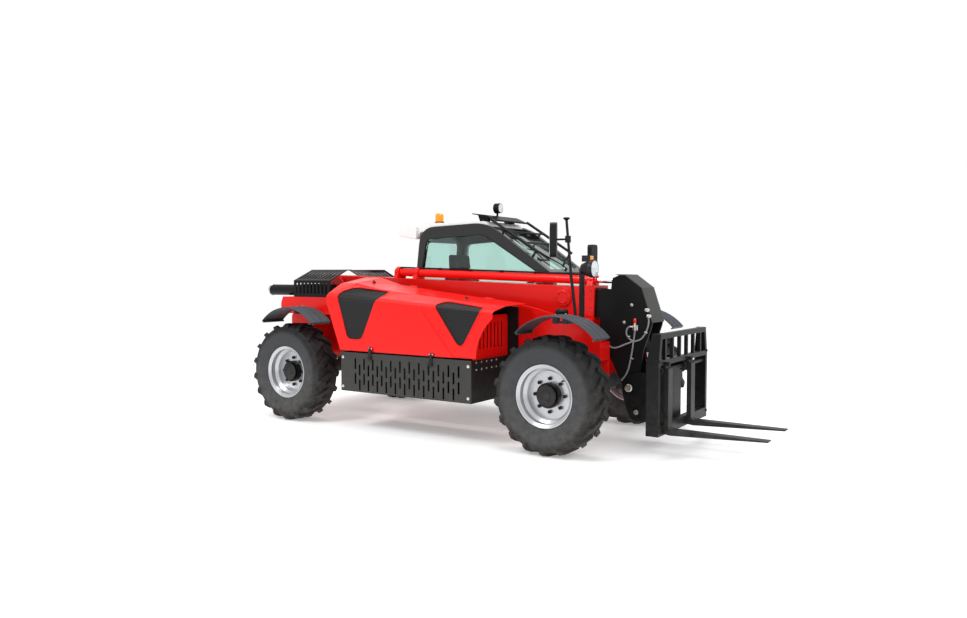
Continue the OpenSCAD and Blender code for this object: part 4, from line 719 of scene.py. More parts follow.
class Shape:
    """One mesh under construction, made with bmesh operators."""

    def __init__(self) -> None:
        """Starts with an empty mesh."""
        self.bm = bmesh.new()

    def facing(self, axis: Point) -> Matrix:
        """A turn that brings +Z to an axis."""
        return Vector(axis).to_track_quat("Z", "Y").to_matrix().to_4x4()

    def round_edges(self, verts: Iterable, width: float, segments: int = 2) -> None:
        """Bevels the sharp edges between vertices.

        Args:
            verts: vertices of the new shape.
            width: the bevel's width.
            segments: its steps.
        """
        chosen = set(verts)
        edges = [e for e in self.bm.edges if e.verts[0] in chosen and e.verts[1] in chosen
                 and (len(e.link_faces) != 2 or e.calc_face_angle(0.0) > SMOOTH_ANGLE)]
        bmesh.ops.bevel(self.bm, geom=edges, offset=width, affect="EDGES", segments=segments, profile=0.5,
                        material=-1)

    def box(self, centre: Point, size: Point, bevel: float = 0.0, turn: Matrix | None = None) -> None:
        """Adds a box with softened edges.

        Args:
            centre: its middle.
            size: its lengths along X, Y and Z before the turn.
            bevel: the width of its edge rounding.
            turn: a turn about its middle.
        """
        place = Matrix.Translation(Vector(centre)) @ (turn or Matrix.Identity(4)) @ Matrix.Diagonal((*size, 1.0))
        verts = bmesh.ops.create_cube(self.bm, size=1.0, matrix=place)["verts"]
        if bevel:
            self.round_edges(verts, bevel)

    def rod(self, start: Point, end: Point, radius: float, sides: int = 20, bevel: float = 0.0) -> None:
        """Adds a round or many-sided bar between two points.

        Args:
            start: the middle of its first end.
            end: the middle of its second end.
            radius: its radius.
            sides: its sides.
            bevel: the width of its end rounding.
        """
        a, b = Vector(start), Vector(end)
        place = Matrix.Translation((a + b) / 2) @ self.facing(b - a)
        verts = bmesh.ops.create_cone(self.bm, cap_ends=True, segments=sides, radius1=radius, radius2=radius,
                                      depth=(b - a).length, matrix=place)["verts"]
        if bevel:
            self.round_edges(verts, bevel)

    def lathe(self, centre: Point, axis: Point, profile: Outline, steps: int = 32) -> None:
        """Spins a profile about an axis.

        Args:
            centre: the profile's zero on the axis.
            axis: the axis, towards growing heights.
            profile: radius and height of each point.
            steps: steps of the spin.
        """
        place = Matrix.Translation(Vector(centre)) @ self.facing(axis)
        verts = [self.bm.verts.new((r, 0.0, h)) for r, h in profile]
        edges = [self.bm.edges.new(pair) for pair in zip(verts, verts[1:])]
        spun = bmesh.ops.spin(self.bm, geom=verts + edges, cent=(0, 0, 0), axis=(0, 0, 1), angle=math.tau,
                              steps=steps, use_merge=True, use_duplicate=False)
        last = {v for v in spun["geom_last"] if isinstance(v, bmesh.types.BMVert)}
        found = last | {v for e in edges if e.is_valid for v in e.verts}
        todo = list(found)
        while todo:
            for edge in todo.pop().link_edges:
                for vert in edge.verts:
                    if vert not in found:
                        found.add(vert)
                        todo.append(vert)
        bmesh.ops.remove_doubles(self.bm, verts=list(found), dist=1e-6)
        alive = [v for v in found if v.is_valid]
        faces = list({f for v in alive for f in v.link_faces})
        bmesh.ops.recalc_face_normals(self.bm, faces=faces)
        bmesh.ops.transform(self.bm, matrix=place, verts=alive)

    def bolt(self, centre: Point, axis: Point, radius: float = 0.009) -> None:
        """Adds a washer with a hexagon head.

        Args:
            centre: a point on the surface under the washer.
            axis: the surface's outward normal.
            radius: the head's radius.
        """
        a, n = Vector(centre), Vector(axis).normalized()
        self.rod(a - n * 0.002, a + n * radius * 0.25, radius * 1.5, 20, radius * 0.08)
        self.rod(a, a + n * radius * 0.95, radius, 6, radius * 0.12)

    def bolt_ring(self, centre: Vector, axis: Point, reach: float, count: int, radius: float) -> None:
        """Adds bolts in a circle about an axis along Y.

        Args:
            centre: the circle's middle, on the surface under the washers.
            axis: the surface's outward normal.
            reach: the circle's radius.
            count: how many bolts.
            radius: a head's radius.
        """
        for i in range(count):
            turn = math.tau * i / count
            self.bolt(centre + Vector((math.cos(turn), 0, math.sin(turn))) * reach, axis, radius)

    def tube(self, points: Sequence[Point], radius: float, sides: int = 12, smooth: int = 6) -> None:
        """Sweeps a circle along a smooth route.

        Args:
            points: the route's points.
            radius: the tube's radius.
            sides: the circle's sides.
            smooth: steps between two points, or 0 for straight runs.
        """
        route = smooth_route(points, smooth) if smooth else [Vector(p) for p in points]
        last = len(route) - 1
        tangents = [(route[min(i + 1, last)] - route[max(i - 1, 0)]).normalized() for i in range(len(route))]
        start = Matrix.Translation(route[0]) @ self.facing(tangents[0])
        ring = bmesh.ops.create_circle(self.bm, cap_ends=True, segments=sides, radius=radius, matrix=start)["verts"]
        face = ring[0].link_faces[0]
        for i in range(1, len(route)):
            out = bmesh.ops.extrude_face_region(self.bm, geom=[face])
            verts = [g for g in out["geom"] if isinstance(g, bmesh.types.BMVert)]
            new_face = [g for g in out["geom"] if isinstance(g, bmesh.types.BMFace)][0]
            if i > 1:
                bmesh.ops.delete(self.bm, geom=[face], context="FACES_ONLY")
            turn = tangents[i - 1].rotation_difference(tangents[i]).to_matrix().to_4x4()
            move = Matrix.Translation(route[i]) @ turn @ Matrix.Translation(-route[i - 1])
            bmesh.ops.transform(self.bm, matrix=move, verts=verts)
            face = new_face

    def plate(self, outline: Outline, thickness: float, place: Matrix, bevel: float = 0.0) -> None:
        """Adds a flat plate from an outline.

        Args:
            outline: its corners in the plate's own X and Y.
            thickness: its thickness along its own Z.
            place: its turn and place.
            bevel: the width of its edge rounding.
        """
        verts = [self.bm.verts.new((x, y, 0.0)) for x, y in outline]
        face = self.bm.faces.new(verts)
        out = bmesh.ops.extrude_face_region(self.bm, geom=[face])
        upper = [g for g in out["geom"] if isinstance(g, bmesh.types.BMVert)]
        bmesh.ops.translate(self.bm, vec=(0, 0, thickness), verts=upper)
        both = verts + upper
        bmesh.ops.recalc_face_normals(self.bm, faces=list({f for v in both for f in v.link_faces}))
        bmesh.ops.transform(self.bm, matrix=place, verts=both)
        if bevel:
            self.round_edges(both, bevel)

    def done(self, name: str, material: Material, body: str, smooth: float = SMOOTH_ANGLE) -> Object:
        """Turns the mesh into a piece of the model.

        Args:
            name: the piece's name.
            material: its material.
            body: the body that it rides on.
            smooth: the angle under which edges are shaded smooth.

        Returns:
            The piece.
        """
        mesh = bpy.data.meshes.new(name)
        bmesh.ops.recalc_face_normals(self.bm, faces=self.bm.faces)
        self.bm.to_mesh(mesh)
        self.bm.free()
        mesh.shade_smooth()
        mesh.set_sharp_from_angle(angle=smooth)
        mesh.materials.append(material)
        piece = add_to_scene(name, mesh)
        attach(piece, body)
        LOG.info("%s: %d faces on %s", name, len(mesh.polygons), body)
        return piece


def smooth_route(points: Sequence[Point], steps: int) -> list[Vector]:
    """Rounds a route through its points.

    Args:
        points: the points that it passes through.
        steps: steps between two points.

    Returns:
        The points of the smooth route.
    """
    p = [Vector(q) for q in points]
    p = [p[0] * 2 - p[1], *p, p[-1] * 2 - p[-2]]
    route = []
    for i in range(1, len(p) - 2):
        for k in range(steps):
            t = k / steps
            route.append(0.5 * (2 * p[i] + (p[i + 1] - p[i - 1]) * t
                                + (2 * p[i - 1] - 5 * p[i] + 4 * p[i + 1] - p[i + 2]) * t * t
                                + (3 * p[i] - p[i - 1] - 3 * p[i + 1] + p[i + 2]) * t ** 3))
    return [*route, p[-2]]


@dataclass
class Studio:
    """Camera, lights, sky and floor."""

    camera_place: Place = (4.9567, -7.0186, 1.5733)
    azimuth: float = 0.588220
    pitch: float = 0.042993
    lens: float = 29.83
    sensor: float = 36.0
    floor_size: float = 400.0
    floor_grey: float = 0.88
    floor_glow: float = 0.26
    sky: float = 0.84
    aim: Place = (0.0, 0.0, 0.9)
    boxes: tuple[tuple[str, Place, float, float], ...] = (
        ("key box", (-2.5, -6.0, 7.0), 300.0, 2.5),
        ("front box", (7.5, -3.5, 5.0), 170.0, 2.5),
        ("top box", (0.0, 1.0, 8.0), 240.0, 4.0))

    def build(self, layout: Layout) -> None:
        """Makes the whole studio.

        Args:
            layout: places of the machine.
        """
        self.make_camera(layout)
        self.make_sky()
        self.make_lights()
        self.make_floor()
        bpy.context.scene.view_settings.view_transform = "Standard"

    def make_camera(self, layout: Layout) -> None:
        """Puts the camera where the photograph was taken from.

        Args:
            layout: places of the machine.
        """
        data = bpy.data.cameras.new("photo camera")
        data.sensor_fit = "HORIZONTAL"
        data.sensor_width = self.sensor
        data.lens = self.lens
        data.clip_end = 1000.0
        camera = add_to_scene("photo camera", data)
        ahead = Vector((-math.sin(self.azimuth) * math.cos(self.pitch),
                        math.cos(self.azimuth) * math.cos(self.pitch), -math.sin(self.pitch)))
        camera.rotation_euler = ahead.to_track_quat("-Z", "Y").to_euler()
        camera.location = layout.at(*self.camera_place)
        bpy.context.scene.camera = camera

    def make_sky(self) -> None:
        """Makes a pale sky that shows as white behind the machine."""
        world = bpy.data.worlds.new("studio sky")
        bpy.context.scene.world = world
        world.use_nodes = True
        wires = Wiring(world.node_tree)
        seen = wires.add("ShaderNodeLightPath").outputs["Is Camera Ray"]
        level = wires.math("ADD", wires.math("MULTIPLY", seen, 1.0 - self.sky), self.sky)
        wires.feed(world.node_tree.nodes["Background"], {"Color": (1.0, 1.0, 1.0, 1.0), "Strength": level})

    def make_lights(self) -> None:
        """Hangs the soft boxes."""
        for name, place, power, size in self.boxes:
            data = bpy.data.lights.new(name, "AREA")
            data.energy = power
            data.size = size
            light = add_to_scene(name, data)
            light.location = place
            light.rotation_euler = (Vector(self.aim) - Vector(place)).to_track_quat("-Z", "Y").to_euler()

    def make_floor(self) -> None:
        """Lays the pale floor."""
        bm = bmesh.new()
        bmesh.ops.create_grid(bm, x_segments=1, y_segments=1, size=self.floor_size / 2)
        mesh = bpy.data.meshes.new("studio floor")
        bm.to_mesh(mesh)
        bm.free()
        material, wires, shader = new_material("pale floor")
        wires.feed(shader, {"Base Color": (self.floor_grey,) * 3 + (1.0,), "Roughness": 0.9,
                            "Emission Color": (1.0, 1.0, 1.0, 1.0), "Emission Strength": self.floor_glow})
        mesh.materials.append(material)
        add_to_scene("studio floor", mesh)


def round_corners(points: Outline, reach: float, steps: int = 6) -> list[Flat]:
    """Rounds each corner of a flat outline.

    Args:
        points: the outline's corners.
        reach: how far from a corner its rounding starts.
        steps: steps of one rounding.

    Returns:
        The rounded outline's points.
    """
    flat = [Vector(p) for p in points]
    found = []
    for i, corner in enumerate(flat):
        before, after = flat[i - 1] - corner, flat[(i + 1) % len(flat)] - corner
        start = corner + before * min(reach / before.length, 0.45)
        end = corner + after * min(reach / after.length, 0.45)
        for k in range(steps + 1):
            t = k / steps
            found.append(tuple((1 - t) ** 2 * start + 2 * t * (1 - t) * corner + t * t * end))
    return found


@dataclass
class Assembly:
    """What every dressed group of pieces needs: places, finishes and the CAD nodes."""

    layout: Layout
    shop: Paintshop
    nodes: dict[str, Object]

    def at(self, x: float, y: float, z: float) -> Vector:
        """A point of the row frame."""
        return self.layout.at(x, y, z)

    def add(self, shape: Shape, name: str, finish: str, body: str, slot: str) -> Object:
        """Ends a shape with a named finish."""
        return shape.done(name, self.shop.material(finish), body)

    def touch(self, node: str, start: Vector, way: Point) -> Vector | None:
        """Where a line first meets a CAD node.

        Args:
            node: the node's name.
            start: the line's start.
            way: the line's direction.

        Returns:
            The point, or None where it misses.
        """
        hit, place, _, _ = self.nodes[node].ray_cast(start, Vector(way))
        return place if hit else None

    def band(self, shape: Shape, outline: Outline, node: str, y_from: float, way: float,
             radius: float) -> None:
        """Lays a rubber bead round an outline of the side view on a node's face.

        Args:
            shape: the mesh that the bead goes to.
            outline: the bead's points as X and Z from the wheelbase's middle.
            node: the node that carries it.
            y_from: where the lines that find the face start.
            way: their direction along Y.
            radius: the bead's radius.
        """
        route = []
        for x, z in [*outline, outline[0]]:
            hit = self.touch(node, self.at(x, y_from, z), (0.0, way, 0.0))
            if hit is not None:
                route.append(hit)
        if len(route) > 3:
            shape.tube(route, radius, 8, 0)


@dataclass
class EngineSide(Assembly):
    """Skirt, hood and their latches, bolts and lips."""

    skirt_y: float = -1.047
    bolt_x: Flat = (-0.745, 0.805)
    bolt_z: Flat = (0.44, 0.735)
    latches: Flats = ((-0.38, 0.785), (0.38, 0.768))
    catch_spots: Flats = ((-0.70, -0.62), (0.49, -0.62))
    catch_profile: Flats = ((0.0, 0.0), (0.022, 0.0), (0.022, 0.006), (0.012, 0.010), (0.010, 0.022),
                            (0.0, 0.024))
    windows: tuple[Flats, ...] = (
        ((-0.860, 1.390), (-0.741, 1.440), (-0.290, 1.395), (-0.508, 0.922), (-0.698, 0.924)),
        ((0.385, 1.290), (0.445, 1.315), (0.930, 1.262), (0.725, 0.918), (0.663, 0.917)))

    def build(self) -> None:
        """Makes all pieces of the engine side."""
        self.bolts()
        self.hood_latches()
        self.lips()
        self.catches()

    def bolts(self) -> None:
        """Corner bolts of the skirt and of its front wall."""
        shape = Shape()
        for x in self.bolt_x:
            for z in self.bolt_z:
                shape.bolt(self.at(x, self.skirt_y, z), (0, -1, 0), 0.010)
        for i in range(5):
            for z in (0.700, 0.765):
                shape.bolt(self.at(0.837, -0.62 - 0.085 * i, z), (1, 0, 0), 0.007)
        self.add(shape, "skirt_bolts", "zinc", Body.CHASSIS.value, "grey_paint")

    def hood_latches(self) -> None:
        """Rubber latches that hold the hood down over the skirt's edge."""
        shape = Shape()
        for x, z in self.latches:
            face = self.skirt_y - 0.003
            strap = round_corners(((-0.020, -0.062), (0.020, -0.062), (0.016, 0.058), (-0.016, 0.058)), 0.014)
            turn = Matrix.Translation(self.at(x, face, z)) @ Matrix.Rotation(math.pi / 2, 4, "X")
            shape.plate(strap, 0.008, turn, 0.002)
            bar = [self.at(x + side * 0.026, face - 0.012, z - 0.042) for side in (-1, 1)]
            shape.rod(*bar, 0.008, 16, 0.002)
            shape.box(self.at(x, -1.040, z + 0.052), (0.046, 0.016, 0.022), 0.004)
        self.add(shape, "hood_latches", "rubber", Body.HOOD.value, "black_paint")
        screws = Shape()
        for x, z in self.latches:
            for side in (-1, 1):
                screws.bolt(self.at(x + side * 0.015, -1.0475, z + 0.052), (0, -1, 0), 0.006)
        self.add(screws, "latch_screws", "zinc", Body.HOOD.value, "rod_chrome")

    def lips(self) -> None:
        """Rolled lips round the hood's mesh openings."""
        shape = Shape()
        for corners in self.windows:
            middle = Vector((sum(p[0] for p in corners), sum(p[1] for p in corners))) / len(corners)
            grown = [tuple(middle + (Vector(p) - middle) * 1.022) for p in corners]
            self.band(shape, round_corners(grown, 0.055, 8), "hood", -2.0, 1.0, 0.007)
        self.add(shape, "hood_lips", "red_paint", Body.HOOD.value, "red_paint")

    def catches(self) -> None:
        """Small catches and bolts on the hood's top."""
        shape = Shape()
        for x, y in self.catch_spots:
            top = self.touch("hood", self.at(x, y, 3.0), (0, 0, -1))
            if top is not None:
                shape.lathe(top - Vector((0, 0, 0.002)), (0, 0, 1), self.catch_profile, 24)
        self.add(shape, "hood_catches", "lamp_plastic", Body.HOOD.value, "lamp_plastic")


@dataclass
class Wheel(Assembly):
    """Cap, cap bolts and valve of one wheel."""

    corner: Corner = Corner.FRONT_LEFT
    hub_face: float = 0.087
    disc_face: float = 0.017
    cap_profile: Flats = ((0.0, 0.0), (0.092, 0.0), (0.092, 0.006), (0.084, 0.010), (0.058, 0.010),
                          (0.054, 0.006), (0.040, 0.006), (0.036, 0.012), (0.0, 0.013))
    stem_profile: Flats = ((0.0, 0.0), (0.010, 0.0), (0.010, 0.008), (0.005, 0.012), (0.005, 0.034),
                           (0.007, 0.036), (0.007, 0.046), (0.0, 0.047))

    def build(self) -> None:
        """Makes the wheel's pieces."""
        end, side = self.corner.value
        centre = self.at(end * self.layout.axle_x, side * self.layout.wheel_y, self.layout.axle_z)
        out = Vector((0, side, 0))
        cap = Shape()
        face = centre + out * self.hub_face
        cap.lathe(face - out * 0.002, out, self.cap_profile, 40)
        cap.bolt_ring(face + out * 0.007, out, 0.071, 10, 0.0055)
        self.add(cap, f"hub_cap_{self.corner.label}", "axle_paint", f"wheel_{self.corner.label}", "axle_paint")
        stem = Shape()
        foot = centre + out * self.disc_face + Vector((0.135, 0, 0.135))
        stem.lathe(foot - out * 0.002, out, self.stem_profile, 16)
        self.add(stem, f"valve_{self.corner.label}", "rubber", f"wheel_{self.corner.label}", "tyre_rubber")


@dataclass
class Boom(Assembly):
    """Pipes, clamps, pin caps and bolts of the boom."""

    pivot: Flat = (-1.75, 1.416)
    pitch: float = math.radians(1.9)
    length: float = 3.38
    top: float = 0.15
    tube_up: float = 0.064
    tube_radius: float = 0.045
    pipe_radius: float = 0.008
    pipe_route: Flats = ((0.860, -0.030), (0.875, -0.006), (0.91, 0.0), (1.3, 0.0), (2.2, 0.0), (3.16, 0.0),
                         (3.22, -0.004))
    clamps: tuple[float, ...] = (1.45, 1.85, 2.25, 2.65, 3.05)
    ring_profile: Flats = ((0.0, 0.0), (0.070, 0.0), (0.070, 0.005), (0.064, 0.009), (0.050, 0.009),
                           (0.047, 0.005), (0.0, 0.005))

    def along(self, u: float, y: float, v: float) -> Vector:
        """A point given from the stowed boom's middle line.

        Args:
            u: the length from the pivot.
            y: the place across.
            v: the height above the line.

        Returns:
            The point in the row frame.
        """
        x = self.pivot[0] + u * math.cos(self.pitch) + v * math.sin(self.pitch)
        z = self.pivot[1] - u * math.sin(self.pitch) + v * math.cos(self.pitch)
        return self.at(x, y, z)

    def build(self) -> None:
        """Makes the boom's pieces."""
        self.pipes()
        self.caps()

    def pipes(self) -> None:
        """Two hydraulic pipes on the extension tube with their clamps."""
        level = self.top + self.tube_up + self.tube_radius + self.pipe_radius + 0.001
        shape = Shape()
        for y in (-0.014, 0.014):
            shape.tube([self.along(u, y, level + rise) for u, rise in self.pipe_route], self.pipe_radius, 10, 8)
        for u in self.clamps:
            shape.box(self.along(u, 0.0, level - 0.001), (0.026, 0.052, 0.022), 0.003)
        self.add(shape, "boom_pipes", "black_paint", Body.BOOM.value, "black_paint")

    def caps(self) -> None:
        """Ring on the boom's side boss, bracket bolts and the nose frame's bolts."""
        shape = Shape()
        boss = self.along(self.length - 0.33, -0.162, 0.04)
        shape.lathe(boss + Vector((0, 0.002, 0)), (0, -1, 0), self.ring_profile, 40)
        shape.bolt_ring(boss - Vector((0, 0.006, 0)), (0, -1, 0), 0.057, 8, 0.006)
        for u in (0.885, 1.155, self.length - 0.09):
            for side in (-1, 1):
                shape.bolt(self.along(u, side * 0.0605, self.top + self.tube_up), (0, side, 0), 0.011)
        for v in (-0.12, -0.04, 0.04, 0.12):
            for side in (-1, 1):
                shape.bolt(self.along(self.length - 0.03, side * 0.154, v), (0, side, 0), 0.007)
        self.add(shape, "boom_caps", "red_paint", Body.BOOM.value, "red_paint")


@dataclass
class Head(Assembly):
    """Coupling, hose fittings and pin caps on the boom's head."""

    plate_y: float = -0.136
    pin: Flat = (2.0078, 0.5339)
    coupling_spot: Flat = (2.045, 1.060)
    hose_ends: Flats = ((2.175, 1.194), (2.158, 1.250), (1.758, 0.924))
    clips: Flats = ((2.016, 0.800), (1.985, 1.000), (2.150, 1.045))
    bolts: tuple[Place, ...] = ((2.004, 1.294, 0.010), (1.930, 1.130, 0.010), (1.913, 0.596, 0.007))
    coupling_profile: Flats = ((0.0, 0.0), (0.011, 0.0), (0.011, 0.018), (0.015, 0.020), (0.015, 0.050),
                               (0.012, 0.054), (0.012, 0.072), (0.0, 0.073))
    dust_cap_profile: Flats = ((0.0, 0.0), (0.0135, 0.0), (0.0155, 0.004), (0.0155, 0.030),
                               (0.011, 0.040), (0.0, 0.042))
    pin_profile: Flats = ((0.0, 0.0), (0.036, 0.0), (0.036, 0.010), (0.030, 0.014), (0.016, 0.014),
                          (0.013, 0.010), (0.006, 0.010), (0.005, 0.018), (0.0, 0.018))

    def build(self) -> None:
        """Makes the head's pieces."""
        self.coupling()
        self.fittings()
        self.pin_caps()

    def coupling(self) -> None:
        """Quick coupling with its red dust cap."""
        y = self.plate_y - 0.0165
        x, z = self.coupling_spot
        body = Shape()
        body.lathe(self.at(x, y, z), (0, 0, 1), self.coupling_profile, 20)
        body.box(self.at(x, self.plate_y - 0.006, z + 0.025), (0.052, 0.014, 0.050), 0.003)
        body.rod(self.at(x - 0.015, y, z + 0.033), self.at(x - 0.055, y, z + 0.033), 0.008, 16, 0.001)
        self.add(body, "head_coupling", "zinc", Body.INNER.value, "rod_chrome")
        cap = Shape()
        cap.lathe(self.at(x, y, z + 0.070), (0, 0, 1), self.dust_cap_profile, 20)
        self.add(cap, "coupling_cap", "red_lens", Body.INNER.value, "red_paint")

    def fittings(self) -> None:
        """Hose ends, clips and bolts on the head's side."""
        y = self.plate_y - 0.0083
        shape = Shape()
        for x, z in self.hose_ends:
            shape.box(self.at(x, self.plate_y - 0.010, z), (0.034, 0.022, 0.034), 0.004)
            shape.rod(self.at(x - 0.022, y, z), self.at(x + 0.022, y, z), 0.010, 6, 0.001)
        for x, z in self.clips:
            shape.box(self.at(x, self.plate_y - 0.010, z), (0.030, 0.022, 0.014), 0.003)
        for x, z, radius in self.bolts:
            shape.bolt(self.at(x, self.plate_y, z), (0, -1, 0), radius)
        self.add(shape, "head_fittings", "zinc", Body.INNER.value, "rod_chrome")

    def pin_caps(self) -> None:
        """Polished ends of the tilt pin."""
        shape = Shape()
        for side in (-1, 1):
            face = self.at(self.pin[0], side * 0.196, self.pin[1])
            shape.lathe(face, (0, side, 0), self.pin_profile, 36)
        self.add(shape, "tilt_pin_caps", "zinc", Body.INNER.value, "rod_chrome")


@dataclass
class Carriage(Assembly):
    """Locks, collars and bolts of the fork carriage."""

    plate_x: float = 2.4628
    shaft_z: float = 0.750
    tine_y: Flat = (-0.460, 0.110)
    lower_pin: Flat = (2.0768, 0.315)
    collar_profile: Flats = ((0.023, 0.0), (0.040, 0.0), (0.040, 0.022), (0.036, 0.026), (0.023, 0.026))
    knob_profile: Flats = ((0.0, 0.0), (0.010, 0.0), (0.010, 0.016), (0.020, 0.020), (0.020, 0.034),
                           (0.014, 0.040), (0.0, 0.041))
    pin_profile: Flats = ((0.0, 0.0), (0.022, 0.0), (0.022, 0.006), (0.018, 0.009), (0.0, 0.009))

    def build(self) -> None:
        """Makes the carriage's pieces."""
        shape = Shape()
        for y in self.tine_y:
            for side in (-1, 1):
                ring = self.at(self.plate_x - 0.040, y + side * 0.0505, self.shaft_z)
                shape.lathe(ring, (0, side, 0), self.collar_profile, 28)
            knob = self.at(self.plate_x + 0.021, y, 0.790)
            shape.lathe(knob - Vector((0, 0, 0.004)), (0, 0, 1), self.knob_profile, 20)
        for y in (-0.612, 0.612):
            for z in (0.26, 0.84):
                shape.bolt(self.at(self.plate_x, y, z), (1, 0, 0), 0.010)
        self.add(shape, "carriage_locks", "fork_steel", Body.CARRIAGE.value, "fork_steel")
        pins = Shape()
        for side in (-1, 1):
            end = self.at(self.lower_pin[0], side * 0.187, self.lower_pin[1])
            pins.lathe(end, (0, side, 0), self.pin_profile, 28)
        self.add(pins, "coupler_pin_ends", "zinc", Body.CARRIAGE.value, "rod_chrome")


@dataclass
class Cab(Assembly):
    """Seal, wiper, handles, seat pads and controls of the cab."""

    in_y: float = 0.200
    out_y: float = 1.030
    screen_low: Flat = (0.960, 1.600)
    brow: Flat = (0.174, 2.090)
    window: Flats = ((-0.662, 1.148), (0.872, 1.148), (0.954, 1.330), (0.873, 1.563), (0.146, 2.004),
                     (-0.632, 1.975), (-0.703, 1.600))
    handle_off: float = 0.022
    gaiter_profile: Flats = ((0.0, 0.0), (0.036, 0.0), (0.030, 0.012), (0.033, 0.018), (0.024, 0.028),
                             (0.026, 0.034), (0.012, 0.048), (0.0, 0.05))
    grip_profile: Flats = ((0.0, 0.0), (0.014, 0.0), (0.020, 0.030), (0.018, 0.065), (0.010, 0.078),
                           (0.0, 0.080))

    def build(self) -> None:
        """Makes the cab's pieces."""
        self.seals()
        self.wiper()
        self.handles()
        self.seat()
        self.controls()

    def seals(self) -> None:
        """Rubber bead round the right window."""
        shape = Shape()
        route = [self.at(x, self.in_y - 0.001, z) for x, z in round_corners(self.window, 0.062, 8)]
        shape.tube([*route, route[0]], 0.007, 8, 0)
        self.add(shape, "window_seal", "rubber", Body.CHASSIS.value, "cab_trim")

    def on_screen(self, y: float, up: float, off: float) -> Vector:
        """A point given from the windscreen's lower edge.

        Args:
            y: the place across.
            up: the length up the glass.
            off: the distance off the glass.

        Returns:
            The point in the row frame.
        """
        low, high = Vector(self.screen_low), Vector(self.brow)
        way = (high - low).normalized()
        out = Vector((way.y, -way.x))
        flat = low + way * up + out * off
        return self.at(flat.x, y, flat.y)

    def wiper(self) -> None:
        """Windscreen wiper: spindle, arm and blade."""
        shape = Shape()
        start = self.on_screen(0.62, 0.045, 0.010)
        tip = self.on_screen(0.50, 0.50, 0.016)
        shape.rod(self.on_screen(0.62, 0.045, -0.030), self.on_screen(0.62, 0.045, 0.022), 0.014, 18, 0.002)
        shape.tube([start, self.on_screen(0.60, 0.12, 0.024), tip], 0.006, 10, 6)
        shape.tube([self.on_screen(0.44, 0.26, 0.004), tip, self.on_screen(0.56, 0.76, 0.004)], 0.007, 8, 6)
        self.add(shape, "wiper", "cab_trim", Body.CHASSIS.value, "cab_trim")

    def bow(self, x: float, foot: float, heights: Sequence[float]) -> list[Vector]:
        """The route of a bow-shaped upright handle on the cab's left face.

        Args:
            x: its place along the machine.
            foot: how far off the face its two feet are.
            heights: the heights of its lower foot, its two bends and its upper foot.

        Returns:
            The route's four points.
        """
        offs = (foot, self.handle_off, self.handle_off, foot)
        return [self.at(x, self.out_y + off, z) for off, z in zip(offs, heights)]

    def handles(self) -> None:
        """Door handle and the grab rail beside the door."""
        door = Shape()
        door.box(self.at(0.350, self.out_y + 0.004, 1.000), (0.040, 0.010, 0.130), 0.004)
        door.tube(self.bow(0.350, 0.004, (0.950, 0.962, 1.038, 1.050)), 0.008, 12, 8)
        self.add(door, "door_handle", "cab_trim", Body.DOOR.value, "cab_trim")
        rail = Shape()
        rail.tube(self.bow(0.470, -0.002, (0.760, 0.775, 1.085, 1.100)), 0.010, 12, 8)
        self.add(rail, "grab_rail", "black_paint", Body.CHASSIS.value, "black_paint")

    def pad(self, name: str, centre: Vector, size: Point, lean: float, crown: float, fill: float) -> None:
        """A crowned pad with a piped seam and sewn channels.

        Args:
            name: the pad's name.
            centre: its middle.
            size: its thickness, width and height before it leans.
            lean: its turn about Y.
            crown: how far its faces swell.
            fill: how tightly it is filled; not used.
        """
        shape = Shape()
        bm = shape.bm
        bmesh.ops.create_cube(bm, size=1.0)
        bmesh.ops.subdivide_edges(bm, edges=bm.edges[:], cuts=9, use_grid_fill=True)
        for vert in bm.verts:
            x, y, z = vert.co
            swell = (1 - (2 * y) ** 4) * (1 - (2 * z) ** 4)
            groove = 0.55 if abs(abs(y) - 0.3) < 0.03 else 1.0
            pull = 1 - 0.05 * (1 - (2 * z) ** 2) * (abs(y) > 0.49) - 0.04 * (1 - (2 * y) ** 2) * (abs(z) > 0.49)
            vert.co = Vector((x * size[0] + math.copysign(crown * swell * groove, x) * (abs(x) > 0.49),
                              y * size[1] * pull, z * size[2] * pull))
        place = Matrix.Translation(centre) @ Matrix.Rotation(lean, 4, "Y")
        bmesh.ops.transform(bm, matrix=place, verts=bm.verts)
        piece = shape.done(name, self.shop.material("seat_cloth"), Body.CHASSIS.value, 1.2)
        rounding = piece.modifiers.new("round", "SUBSURF")
        rounding.levels = rounding.render_levels = 1

    def seat(self) -> None:
        """Pads over the seat's base, back and head rest."""
        mid = (self.in_y + self.out_y) / 2
        self.pad("seat_cushion", self.at(-0.045, mid, 1.145), (0.055, 0.470, 0.430), math.radians(93), 0.018, 0.7)
        self.pad("seat_back", self.at(-0.335, mid, 1.390), (0.055, 0.450, 0.450), math.radians(-14), 0.018, 0.7)
        self.pad("head_rest", self.at(-0.430, mid, 1.715), (0.050, 0.250, 0.150), math.radians(-8), 0.014, 0.8)

    def controls(self) -> None:
        """Joystick with its gaiter, and the arm rest's console."""
        shape = Shape()
        base = self.at(0.02, 0.315, 1.130)
        shape.box(self.at(-0.06, 0.315, 1.095), (0.360, 0.085, 0.060), 0.014)
        shape.lathe(base - Vector((0, 0, 0.010)), (0, 0, 1), self.gaiter_profile, 24)
        shape.rod(base + Vector((0, 0, 0.03)), base + Vector((0.012, 0, 0.12)), 0.008, 14)
        shape.lathe(base + Vector((0.012, 0, 0.105)), (0.1, 0, 1), self.grip_profile, 20)
        self.add(shape, "joystick", "cab_trim", Body.CHASSIS.value, "cab_trim")


